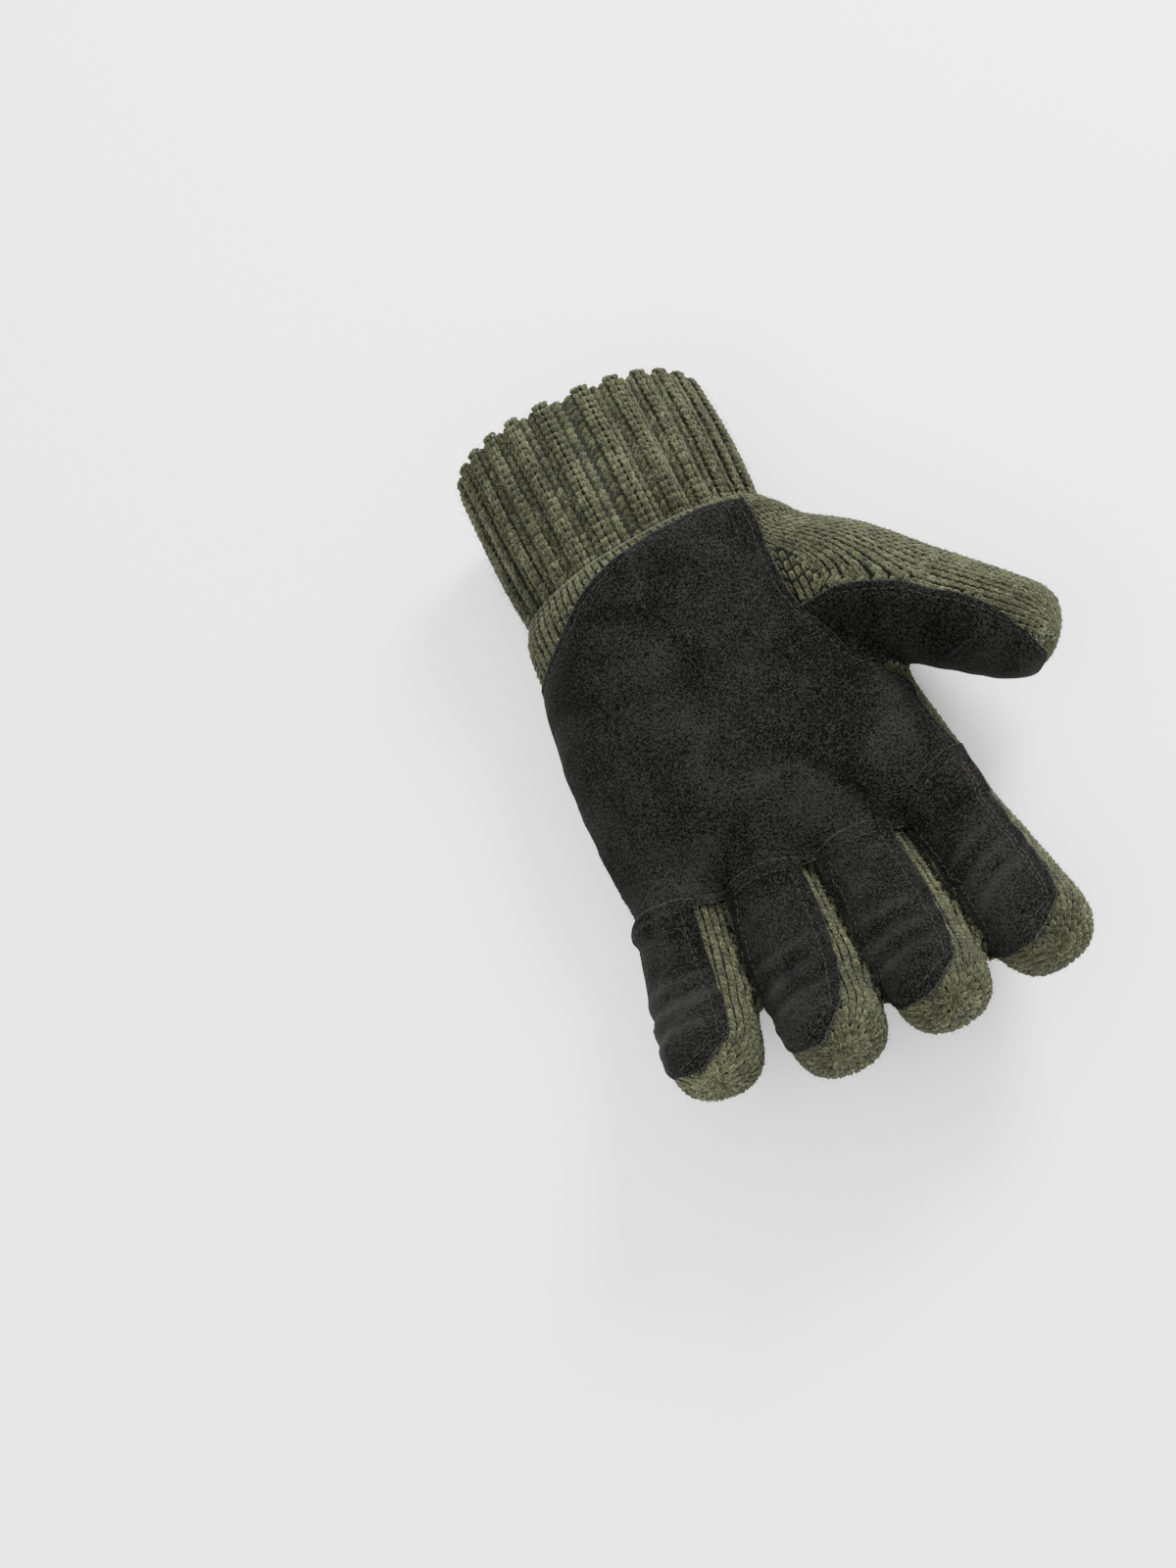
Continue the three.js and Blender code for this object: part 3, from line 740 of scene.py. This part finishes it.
def cuff_side(along, angle, inside=False):
    """Points of the cuff's outside, or of its inside, where ribs and furrows change places."""
    left = read(cuff_sections, 1, along) * cuff_width
    right = read(cuff_sections, 2, along) * cuff_width
    top = read(cuff_sections, 3, along) * cuff_depth
    rib = np.cos(rib_count * angle) * rib_height * read(cuff_sections, 4, along)
    grow = rib - (cuff_wall if inside else 0)
    across, up = rounded(angle, (right - left) / 2 + grow, (top + rested) / 2 + grow)
    flat_across, flat_up = rounded(angle, (right - left) / 2, (top + rested) / 2)
    scallop = 0.0008 * np.cos(rib_count * angle) * along ** 6
    y = wrist_y + 0.0003 + along * (cuff_length - 0.1 * flat_across + 0.16 * flat_up) + scallop
    lowest = cuff_wall + rib - rib_height if inside else 0.0
    z = np.maximum((top - rested) / 2 + up, lowest)
    return np.stack([(left + right) / 2 + across, y, z], -1)


def cuff_roll(walk, angle):
    """Points of the cuff at a walk up its outside from the seam, over the rim, and down its inside."""
    walk = np.asarray(walk, float)
    up_out = np.clip(walk / cuff_length, 0, 1)
    down_in = np.clip((walk - cuff_length - cuff_lip) / cuff_length, 0, 1)
    turn = np.clip((walk - cuff_length) / cuff_lip, 0, 1) * math.pi
    outer = cuff_side(up_out, angle)
    inner = cuff_side(1 - down_in, angle, True)
    middle = (outer + inner) / 2
    half = (outer - inner) / 2
    over = middle + half * np.cos(turn)[..., None]
    over[..., 1] += cuff_wall / 2 * np.sin(turn)
    return over


def tube_directions(points):
    """Hops across and along a tube's grid of points, and the directions outward from it."""
    ahead = np.gradient(points, axis=0)
    side_way = np.roll(points, -1, 1) - np.roll(points, 1, 1)
    outward = unit(np.cross(side_way, ahead))
    outward *= np.sign(np.sum(outward[3] * (points[3] - points[3].mean(0)), -1).mean())
    return side_way, ahead, outward


cuff_end = 2 * cuff_length + cuff_lip - 0.002
sides = rib_count * 8
cuff_angles = np.linspace(0, 2 * math.pi, sides, endpoint=False)
walks = np.concatenate([np.linspace(0, cuff_length, 20), cuff_length + cuff_lip * np.linspace(0.17, 0.83, 5),
                        np.linspace(cuff_length + cuff_lip, cuff_end, 14)])
cuff_points = cuff_roll(*np.meshgrid(walks, cuff_angles, indexing="ij"))
_, _, outward = tube_directions(cuff_points)
cuff_points = cuff_points - outward * cuff_sunk
faces = ring_faces(len(walks), sides)
last_ring = (len(walks) - 1) * sides
faces += [(last_ring + j, last_ring + (j + 1) % sides, (j + 1) % sides, j) for j in range(sides)]
# painted shade: the cuff's shell is the olive wool made darker, seen only as shadow between the stitches
cuff = new_piece("cuff_shell", cuff_points, faces, [painted_shade_wool])
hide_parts("rib_cuff")
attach(cuff, "root")

cuff_course = course * 0.95
walks = np.arange(course * 0.4, cuff_end - course * 3, cuff_course)
in_rib = np.array([0.125, 0.375, 0.625, 0.875])
wale_angles = ((np.arange(rib_count)[:, None] + in_rib[None, :]) / rib_count * 2 * math.pi).ravel()
points = cuff_roll(*np.meshgrid(walks, wale_angles, indexing="ij"))
side_way, ahead, outward = tube_directions(points)
ahead = unit(ahead)
across = np.cross(ahead, outward)
widths = np.linalg.norm(side_way, axis=-1) / 2
proud = np.tile((in_rib < 0.25) | (in_rib > 0.75), rib_count)
inside = walks > cuff_length + cuff_lip / 2
for part_name, rows in (("cuff_stitches_outside", ~inside), ("cuff_stitches_inside", inside)):
    grid = np.zeros(points.shape[:2], bool)
    grid[rows] = True
    knit_side = grid & np.where(inside[:, None], ~proud[None, :], proud[None, :])
    for kind, chosen, legs in (("ribs", knit_side, v_stitch), ("furrows", grid & ~knit_side, [sunk_yarn])):
        spots = [points[chosen] - outward[chosen] * under_skin, across[chosen], ahead[chosen],
                 outward[chosen], widths[chosen] * cuff_leg_width, np.full(chosen.sum(), cuff_course)]
        piece = knit(f"{part_name}_{kind}", spots, legs, wool)
        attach(piece, "root")
outer_spots = [grid[~inside].reshape(-1, 3) for grid in (points, across, ahead, outward)]
cuff_hairs = yarn_hairs("cuff_yarn_hairs", outer_spots, count=8000)
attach(cuff_hairs, "root")
bpy.data.objects.remove(form)

# The palm side: six pieces of black split suede, 1.3 mm thick, cut raw and sewn flat on the wool with black
# thread, a few millimetres in from their edges. The nap is short and uneven, and the cut edges are paler.
suede_thick, suede_rise, seam_inset = 0.0013, 0.00035, 0.0027
edge_drop, edge_roll, seam_drop, seam_roll = 0.00040, 0.00045, 0.00028, 0.0007


def split_suede(name, dark, pale, nap_relief):
    """Split suede: a short nap that lies in patches, dust-pale fibre ends, painted highlights on raised bends
    and fine pits.
    """
    material = new_material(name, Roughness=0.92, Specular_IOR_Level=0.04, Sheen_Weight=0.015,
                            Sheen_Roughness=0.5)
    tree = material.node_tree
    patches = add_noise(tree, 45, 4)
    patches.inputs["Distortion"].default_value = 0.6
    nap = add_noise(tree, 1700, 5)
    total = add_share(tree, nap, 0.7, 0.0)
    # painted highlight: the raised creases are made paler
    total = add_share(tree, add_values(tree, "painted_crease_highlight"), 0.055, total)
    total = add_share(tree, patches, 0.3, total)
    add_shades(tree, total, [(0.43, dark), (0.6, pale)])
    relief = add_relief(tree, nap, nap_relief, 0.0003)
    add_relief(tree, add_noise(tree, 420, 4), 0.35, 0.0008, relief)
    return material


suede = split_suede("black_split_suede", (0.00015, 0.00015, 0.00015), (0.0125, 0.0126, 0.0116), 1.0)
raw_edge = split_suede("raw_suede_edge", (0.006, 0.0062, 0.0055), (0.036, 0.037, 0.033), 0.9)
thread_black = new_material("black_sewing_thread", Base_Color=(0.016, 0.016, 0.015, 1), Roughness=0.75,
                            Specular_IOR_Level=0.15)
add_relief(thread_black.node_tree, add_noise(thread_black.node_tree, 3500, 2), 0.6, 0.0002)


def edge_spaced(count, length):
    """Shares of a length that are close together at both ends, for a cut edge, and even between."""
    ends = np.array([0, 0.0003, 0.0007, 0.0013, 0.0021, 0.0028, 0.0036]) / length
    return np.concatenate([ends, np.linspace(ends[-1], 1 - ends[-1], count)[1:-1], 1 - ends[::-1]])


def mend(points, normals):
    """Fills the few grid points that missed the form from the ones beside them."""
    for _ in range(40):
        lost = np.isnan(points).any(-1)
        if not lost.any():
            break
        for i, j in zip(*np.nonzero(lost)):
            beside = ((i - 1, j), (i + 1, j), (i, j - 1), (i, j + 1))
            near = [(a, b) for a, b in beside if 0 <= a < points.shape[0] and 0 <= b < points.shape[1]]
            near = [n for n in near if not np.isnan(points[n]).any()]
            if near:
                points[i, j] = np.mean([points[n] for n in near], 0)
                normals[i, j] = np.mean([normals[n] for n in near], 0)
    return points, normals


def soften(grid, times):
    """Evens out a grid of points, keeping its edges."""
    for _ in range(times):
        beside = grid[:-2, 1:-1] + grid[2:, 1:-1] + grid[1:-1, :-2] + grid[1:-1, 2:]
        grid[1:-1, 1:-1] = (grid[1:-1, 1:-1] * 2 + beside) / 6
    return grid


def grid_walks(points):
    """How far each point of a grid is from its first row, and from its first column."""
    hop_r = np.linalg.norm(np.diff(points, axis=0), axis=-1)
    hop_c = np.linalg.norm(np.diff(points, axis=1), axis=-1)
    from_r = np.vstack([np.zeros(points.shape[1]), np.cumsum(hop_r, 0)])
    from_c = np.hstack([np.zeros((points.shape[0], 1)), np.cumsum(hop_c, 1)])
    return from_r, from_c


def two_faced(rows, columns):
    """Faces of a sheet with a top and a bottom grid of points and a rim between, and which are cut edge."""
    total = rows * columns
    faces, kinds = [], []
    for i in range(rows - 1):
        for j in range(columns - 1):
            a = i * columns + j
            faces.append((a, a + 1, a + 1 + columns, a + columns))
            faces.append((total + a, total + a + columns, total + a + 1 + columns, total + a + 1))
            at_edge = i == 0 or j == 0 or i == rows - 2 or j == columns - 2
            kinds += [1 if at_edge else 0, 0]
    rim = list(range(columns)) + [i * columns + columns - 1 for i in range(1, rows)]
    rim += [(rows - 1) * columns + j for j in range(columns - 2, -1, -1)]
    rim += [i * columns for i in range(rows - 2, 0, -1)]
    for a, b in zip(rim, rim[1:] + rim[:1]):
        faces.append((b, a, total + a, total + b))
        kinds.append(1)
    return faces, kinds


def suede_piece(name, points, normals, lap, cad_node, creases=()):
    """A sewn piece of suede over a grid of points on the form. lap lifts it over what it overlaps."""
    points, normals = mend(points, normals)
    points = soften(points, 2)
    outward = unit(np.cross(np.gradient(points, axis=0), np.gradient(points, axis=1)))
    outward *= np.sign(np.median(np.sum(outward * normals, -1)))
    outward = np.where(np.sum(outward * normals, -1, keepdims=True) > 0.3, outward, normals)
    outward = unit(soften(outward, 2))
    from_r, from_c = grid_walks(points)
    edge = np.minimum(np.minimum(from_r, from_r[-1:] - from_r), np.minimum(from_c, from_c[:, -1:] - from_c))
    drop = edge_drop * np.exp(-(edge / edge_roll) ** 2)
    drop += seam_drop * np.exp(-((edge - seam_inset) / seam_roll) ** 2)
    # it never lies quite flat
    x, y, z = points[..., 0], points[..., 1], points[..., 2]
    lie = 0.00013 * np.sin(310 * x + 170 * y + 2) * np.sin(240 * y - 90 * x)
    lie = lie + 0.0001 * np.sin(520 * x - 480 * y + 260 * z)
    # painted highlight: the raised crests of the creases, away from the edges, are made paler in colour
    painted_crease_highlight = np.zeros(edge.shape)
    bow = np.sin(np.linspace(0, math.pi, points.shape[1]))[None]
    for where, high, wide, sway in creases:
        fold = np.exp(-((from_r - where - sway * bow) / wide) ** 2)
        lie = lie + high * fold
        painted_crease_highlight += fold * (high > 0) * np.clip((edge - 0.0025) / 0.005, 0, 1)
    top = points + outward * (suede_rise + lap + suede_thick - drop + lie)[..., None]
    bottom = points + outward * (suede_rise + lap + lie * 0.6)[..., None]
    faces, kinds = two_faced(*points.shape[:2])
    piece = new_piece(name, np.vstack([top.reshape(-1, 3), bottom.reshape(-1, 3)]), faces, [suede, raw_edge])
    piece.data.polygons.foreach_set("material_index", kinds)
    mark(piece, "painted_crease_highlight", np.tile(painted_crease_highlight.ravel(), 2))
    turn_out = bmesh.new()
    turn_out.from_mesh(piece.data)
    bmesh.ops.recalc_face_normals(turn_out, faces=turn_out.faces)
    turn_out.to_mesh(piece.data)
    turn_out.free()
    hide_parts(cad_node)
    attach(piece, "root")
    return top, outward


# share of the hand's length from the finger line, and x as a share of the hand's breadth
palm_thumb_side = np.array([
    (-0.06, 0.482), (0.0, 0.48), (0.08, 0.475), (0.15, 0.465), (0.26, 0.45), (0.33, 0.45), (0.37, 0.41),
    (0.41, 0.365), (0.51, 0.33), (0.6, 0.303), (0.72, 0.303), (0.85, 0.313), (0.96, 0.318),
])
# x as a share of the hand's breadth, and share of the hand's length
palm_wrist_side = np.array([
    (-0.46, 0.77), (-0.42, 0.795), (-0.35, 0.835), (-0.28, 0.88), (-0.175, 0.932), (-0.02, 0.965),
    (0.12, 0.972), (0.24, 0.972), (0.318, 0.96),
])
palm_side_height, line_points = 0.0175, 160


def drop_on_form(places, facing, from_above=0.03):
    """Where lines from outside, against the facing directions, first meet the form from its outside."""
    found = np.full(places.shape, np.nan)
    normals = np.array(facing, float)
    for i in np.ndindex(*places.shape[:-1]):
        way = Vector(-facing[i])
        start = Vector(places[i]) - way * from_above
        for _ in range(4):
            hit, normal, _, _ = form_tree.ray_cast(start, way, 2 * from_above)
            if hit and normal.dot(way) < 0:
                found[i] = hit
                normals[i] = normal
            if not hit or normal.dot(way) < 0:
                break
            start = hit + way * 0.0001
    return found, normals


def evenly(line, shares_along):
    """Points at shares of the way along a line."""
    walk = walk_along(line)
    return at_walks(line, walk, shares_along * walk[-1])


def palm_line(along):
    """A line over the palm side, from the suede's edge by the little finger to its edge by the thumb."""
    far = np.linspace(math.pi * 0.6, math.pi * 1.3, 200)
    far_skin, _ = hand_skin(np.full(200, along), far)
    start = np.interp(-palm_side_height, -far_skin[:, 2], far)
    near = np.linspace(0.02, 1.2, 300)
    near_skin, _ = hand_skin(np.full(300, along), near)
    end = np.interp(-read(palm_thumb_side, 1, np.array(along)) * hand_breadth, -near_skin[:, 0], near)
    angles = np.linspace(start, end, 110)
    skin, _ = hand_skin(np.full(110, along), angles)
    # dropped on from above, and by the little finger from the side
    lean = math.pi / 2 + math.radians(88) * eased(angles, 1.9, 3.0)
    facing = np.stack([np.cos(lean), 0 * lean, np.sin(lean)], -1)
    line, _ = drop_on_form(skin, facing)
    line = line[~np.isnan(line[:, 0])]
    # the suede bridges a dip that is narrow and deeper than this
    most_dip = 0.0015
    about = np.convolve(np.pad(line[:, 2], 8, mode="edge"), np.ones(17) / 17, mode="valid")
    line[:, 2] = np.maximum(line[:, 2], about - most_dip)
    return evenly(line, np.linspace(0, 1, line_points))


past_fingers = -0.055
levels = np.linspace(past_fingers, 0.985, 64)
lines = np.array([palm_line(a) for a in levels])
shares = edge_spaced(96, 0.13)


def on_lines(alongs, columns):
    """Points of the palm at shares of the hand's length, and shares of the way across."""
    i = np.clip((alongs - levels[0]) / (levels[1] - levels[0]), 0, len(levels) - 1.001)
    j = np.clip(columns * (line_points - 1), 0, line_points - 1.001)
    i0, j0 = i.astype(int), j.astype(int)
    u, v = (i - i0)[..., None], (j - j0)[..., None]
    low = lines[i0, j0] * (1 - v) + lines[i0, j0 + 1] * v
    high = lines[i0 + 1, j0] * (1 - v) + lines[i0 + 1, j0 + 1] * v
    return low * (1 - u) + high * u


# how far up the hand each column of points meets the edge by the wrist
tops = np.full(len(shares), 0.8)
for _ in range(40):
    x_share = on_lines(tops, shares)[:, 0] / hand_breadth
    tops = tops * 0.5 + read(palm_wrist_side, 1, np.clip(x_share, -0.46, 0.318)) * 0.5
rows = edge_spaced(88, 0.1)
alongs = past_fingers + 0.001 + rows[:, None] * (tops[None, :] - past_fingers - 0.001)
points = on_lines(alongs, np.broadcast_to(shares, alongs.shape))
normals = np.broadcast_to(np.array([0.0, 0.0, 1.0]), points.shape).copy()
# the palm's edge is raised where it laps over the thumb's suede
lapped = eased(points[..., 0] / hand_breadth, 0.235, 0.275)
lapped = lapped * eased(alongs, 0.36, 0.4) * (1 - eased(alongs, 0.67, 0.71))
palm_top, palm_out = suede_piece("palm_suede", points, normals, lapped * (suede_thick + 0.0001),
                                 "palm_patch")


def seam_dashes(lines, name, stitch=0.0022, gap=0.0005, thick=0.00016, sides=5):
    """Sewing thread along lines of points and outward directions: short dashes sunk into the suede."""
    all_points, all_faces = [], []
    high = np.array([-0.0004, -0.00002, 0.00008, -0.00002, -0.0004])
    for path, out in lines:
        walk = walk_along(path)
        for begin in np.arange(0.001, walk[-1] - stitch, stitch + gap):
            stops = begin + stitch * np.array([0, 0.15, 0.5, 0.85, 1])
            face = at_walks(out, walk, stops)
            centre = at_walks(path, walk, stops) + face * high[:, None]
            run = unit(centre[-1] - centre[0])
            flank = unit(np.cross(run, face[2]))
            rise = np.cross(flank, run)
            start = len(all_points)
            all_faces += [[start + corner for corner in face] for face in strand_faces(3, sides)]
            all_points.append(centre[0])
            for k in (1, 2, 3):
                for m in range(sides):
                    turn = 2 * math.pi * m / sides
                    all_points.append(centre[k] + (flank * math.cos(turn) + rise * math.sin(turn)) * thick)
            all_points.append(centre[-1])
    piece = new_piece(name, all_points, all_faces, [thread_black])
    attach(piece, "root")


def inset_lines(top, outward, inset, edges=("start", "end", "first", "last")):
    """Lines on a grid of points at a distance in from its edges, and their outward directions.

    The start and the end are the first and the last row. The first and the last are columns.
    """
    from_r, from_c = grid_walks(top)
    lines = []
    for edge in edges:
        if edge in ("start", "end"):
            walks, grids = from_r.T, (top.transpose(1, 0, 2), outward.transpose(1, 0, 2))
            over = from_c[len(from_c) // 2]
        else:
            walks, grids = from_c, (top, outward)
            over = from_r[:, top.shape[1] // 2]
        between = np.nonzero((over > inset) & (over < over[-1] - inset))[0]
        at = {k: inset if edge in ("start", "first") else walks[k, -1] - inset for k in between}
        lines.append([np.array([at_walks(grid[k], walks[k], at[k]) for k in between]) for grid in grids])
    return lines


seams = inset_lines(palm_top, palm_out, seam_inset, ("end", "first", "last"))

# The thumb's suede runs from under the palm's edge to the end of the thumb, and is sewn down along its upper
# edge and its end. Each edge starts on the palm, at x as a share of the hand's breadth and a share of the
# hand's length, and goes on along the thumb, in metres from the thumb's start and degrees round it.
thumb_upper_start = np.array([(0.283, 0.606), (0.345, 0.604), (0.413, 0.594), (0.487, 0.559), (0.560, 0.515)])
thumb_upper_edge = np.array([(0.058, 146), (0.066, 143), (0.0735, 145), (0.080, 152), (0.0845, 162)])
thumb_lower_start = np.array([(0.315, 0.415), (0.377, 0.403), (0.434, 0.392), (0.467, 0.387)])
thumb_lower_edge = np.array([(0.052, 240), (0.057, 246), (0.064, 252), (0.074, 257), (0.081, 261),
                             (0.0865, 264)])


def on_hand(spots):
    """Points on the form, straight below places on the palm."""
    found = []
    for across_share, along_share in spots:
        x = across_share * hand_breadth
        y = wrist_y - (1 - along_share) * (hand_length + knuckle_slant * x)
        found.append(np.array(form_tree.ray_cast(Vector((x, y, 0.1)), Vector((0, 0, -1)))[0]))
    return np.array(found)


rows = edge_spaced(62, 0.085)
edge_lines = []
for on_palm, on_thumb in ((thumb_upper_start, thumb_upper_edge), (thumb_lower_start, thumb_lower_edge)):
    wall_skin, wall_middle = stall_skin(thumb, on_thumb[:, 0], np.radians(on_thumb[:, 1]))
    wall_points, _ = lay(wall_skin, wall_middle, 2.0)
    edge_lines.append(evenly(np.vstack([on_hand(on_palm), wall_points]), rows))
upper_line, lower_line = edge_lines
shares = edge_spaced(44, 0.034)
ruled = upper_line[:, None] * (1 - shares)[None, :, None] + lower_line[:, None] * shares[None, :, None]
# where the suede faces, in degrees round the thumb, at its upper and its lower edge
far_angle = np.radians(168 + 76 * eased(rows, 0, 0.38))
look = np.radians(150) * (1 - shares)[None, :] + far_angle[:, None] * shares[None, :]
_, thumb_side, thumb_palm, thumb_run = stall_frame(thumb, np.array(0.06))
rounding = 0.0045 * np.clip((rows - 0.8) / 0.2, 0, 1)[:, None, None]
ruled += thumb_run * (rounding * np.sin(np.pi * shares)[None, :, None] ** 0.8)
facing = thumb_side * np.cos(look)[..., None] + thumb_palm * np.sin(look)[..., None]
points, normals = drop_on_form(ruled, facing, 0.022)
thumb_top, thumb_out = suede_piece("thumb_suede", points, normals, 0.0, "thumb_patch")
seams += inset_lines(thumb_top, thumb_out, seam_inset, ("end", "first"))

# A band of suede on each finger, from an arched end that laps over the palm's suede to most of the way round
# the tip. It is creased where the finger bends, and the raised creases carry a painted highlight.
# Edges: s in metres, then the angle in degrees of the edge towards the thumb and of the other edge.
finger_edges = {
    "index": [(-0.014, 41, 150), (0.0, 47, 152), (0.02, 52, 162), (0.04, 54, 172), (0.06, 61, 177),
              (0.07, 68, 172)],
    "middle": [(-0.01, 56, 147), (0.0, 56, 147), (0.02, 55, 158), (0.04, 56, 170), (0.062, 60, 177),
               (0.078, 67, 172)],
    "ring": [(-0.01, 52, 147), (0.0, 52, 147), (0.02, 52, 160), (0.04, 57, 172), (0.062, 66, 177),
             (0.079, 76, 172)],
    "little": [(-0.01, 69, 152), (0.0, 69, 158), (0.018, 69, 168), (0.036, 67, 176), (0.052, 62, 180),
               (0.067, 62, 174)],
}
# where the root end's arch is lowest and highest, and where the tip end is, in metres
finger_ends = {"index": (-0.0115, 0.006, 0.0688), "middle": (0.0018, 0.0035, 0.0763),
               "ring": (0.002, 0.0035, 0.0776), "little": (0.0015, 0.0035, 0.0660)}
# share of the finger's length, and height in metres
finger_creases = [(0.39, 0.0004), (0.46, -0.0005), (0.53, 0.0005), (0.60, -0.0004), (0.66, 0.0003)]
crease_width, crease_sway = 0.0022, 0.002
for name, edges in finger_edges.items():
    part = stalls[name]
    table = np.array(edges)
    arch_low, arch_high, tip_end = finger_ends[name]
    shares = edge_spaced(34, 0.029)
    arch = shares ** 1.7 if name == "index" else (2 * shares - 1) ** 2
    ends_root = arch_low + (arch_high - arch_low) * arch
    ends_tip = tip_end - 0.0045 * np.abs(2 * shares - 1) ** 3.5
    rows = edge_spaced(58, 0.07)
    runs = ends_root[None, :] + rows[:, None] * (ends_tip - ends_root)[None, :]
    near = read(table, 1, runs)
    far = read(table, 2, runs)
    angles = np.radians(near * (1 - shares)[None, :] + far * shares[None, :])
    skin, middles = stall_skin(part, runs, angles)
    # wrapped round the finger, but at the root end laid on the palm from above
    around_finger, normals = lay(skin, middles, 1.6, 0.004)
    _, _, palm_way, _ = stall_frame(part, runs)
    over_root, root_normals = drop_on_form(skin, palm_way)
    over_root = np.where(np.isnan(over_root), around_finger, over_root)
    normals = np.where(np.isnan(around_finger), root_normals, normals)
    settled = np.where(np.isnan(around_finger), 0, eased(runs, 0.004, 0.015)[..., None])
    points = over_root * (1 - settled) + np.nan_to_num(around_finger) * settled
    lap = (suede_thick + 0.0001) * (1 - eased(runs, 0.0055, 0.0105))
    creases = [(part["length"] * where, high, crease_width, crease_sway) for where, high in finger_creases]
    top, out = suede_piece(f"{name}_suede", points, normals, lap,
                           f"{name}_patch", creases)
    seams += inset_lines(top, out, seam_inset * 1.6)
    if name == "index":
        seams += inset_lines(top, out, seam_inset * 2.1, ("first",))
seam_dashes(seams, "sewing_thread")

# The floor is a wide sheet of pale paper.
floor = new_piece("floor", [(-3, -3, 0), (3, -3, 0), (3, 3, 0), (-3, 3, 0)], [(0, 1, 2, 3)],
                  [new_material("pale_paper", Base_Color=(0.95, 0.95, 0.95, 1), Roughness=0.9)])

# The camera looks down on the palm from beyond the fingers. The frame is taken as 1200 by 1600, and the focal
# length and the place of the glove's middle are in its pixels.
frame_wide, frame_high, middle_across, middle_down = 1200, 1600, 743, 718

tilt, roll, distance, focal = math.radians(24), math.radians(29), 0.88, 3130
back = Vector((0, -math.sin(tilt), math.cos(tilt)))
right = Vector((1, 0, 0))
up = back.cross(right)
camera_data = bpy.data.cameras.new("camera")
camera_data.sensor_width = 36
camera_data.lens = camera_data.sensor_width * focal / frame_high
camera_data.clip_start = 0.05
camera_data.clip_end = 20
camera = bpy.data.objects.new("camera", camera_data)
bpy.context.scene.collection.objects.link(camera)
turned_right = math.cos(roll) * right - math.sin(roll) * up
turned_up = math.sin(roll) * right + math.cos(roll) * up
sight = Matrix((turned_right, turned_up, back)).transposed()
aim_right = (middle_across - frame_wide / 2) / focal
aim_up = (frame_high / 2 - middle_down) / focal
aim = Vector((aim_right, aim_up, -1)).normalized()
camera.matrix_world = Matrix.Translation(Vector((0, 0, 0.036)) - sight @ aim * distance) @ sight.to_4x4()
bpy.context.scene.camera = camera


# Two round soft boxes and an even white room light it.
def soft_box(name, place, size, power):
    """An area light that faces the glove."""
    light = bpy.data.lights.new(name, "AREA")
    light.shape = "DISK"
    light.size = size
    light.energy = power
    lamp = bpy.data.objects.new(name, light)
    lamp.location = place
    lamp.rotation_euler = (-Vector(place)).to_track_quat("-Z", "Y").to_euler()
    bpy.context.scene.collection.objects.link(lamp)


soft_box("key_light", (1.0, 0.62, 0.85), 0.6, 54)
soft_box("fill_light", (-0.7, -0.4, 1.2), 1.1, 14)
world = bpy.data.worlds.new("studio")
world.use_nodes = True
world.node_tree.nodes["Background"].inputs["Color"].default_value = (1, 1, 1, 1)
world.node_tree.nodes["Background"].inputs["Strength"].default_value = 2.3
bpy.context.scene.world = world
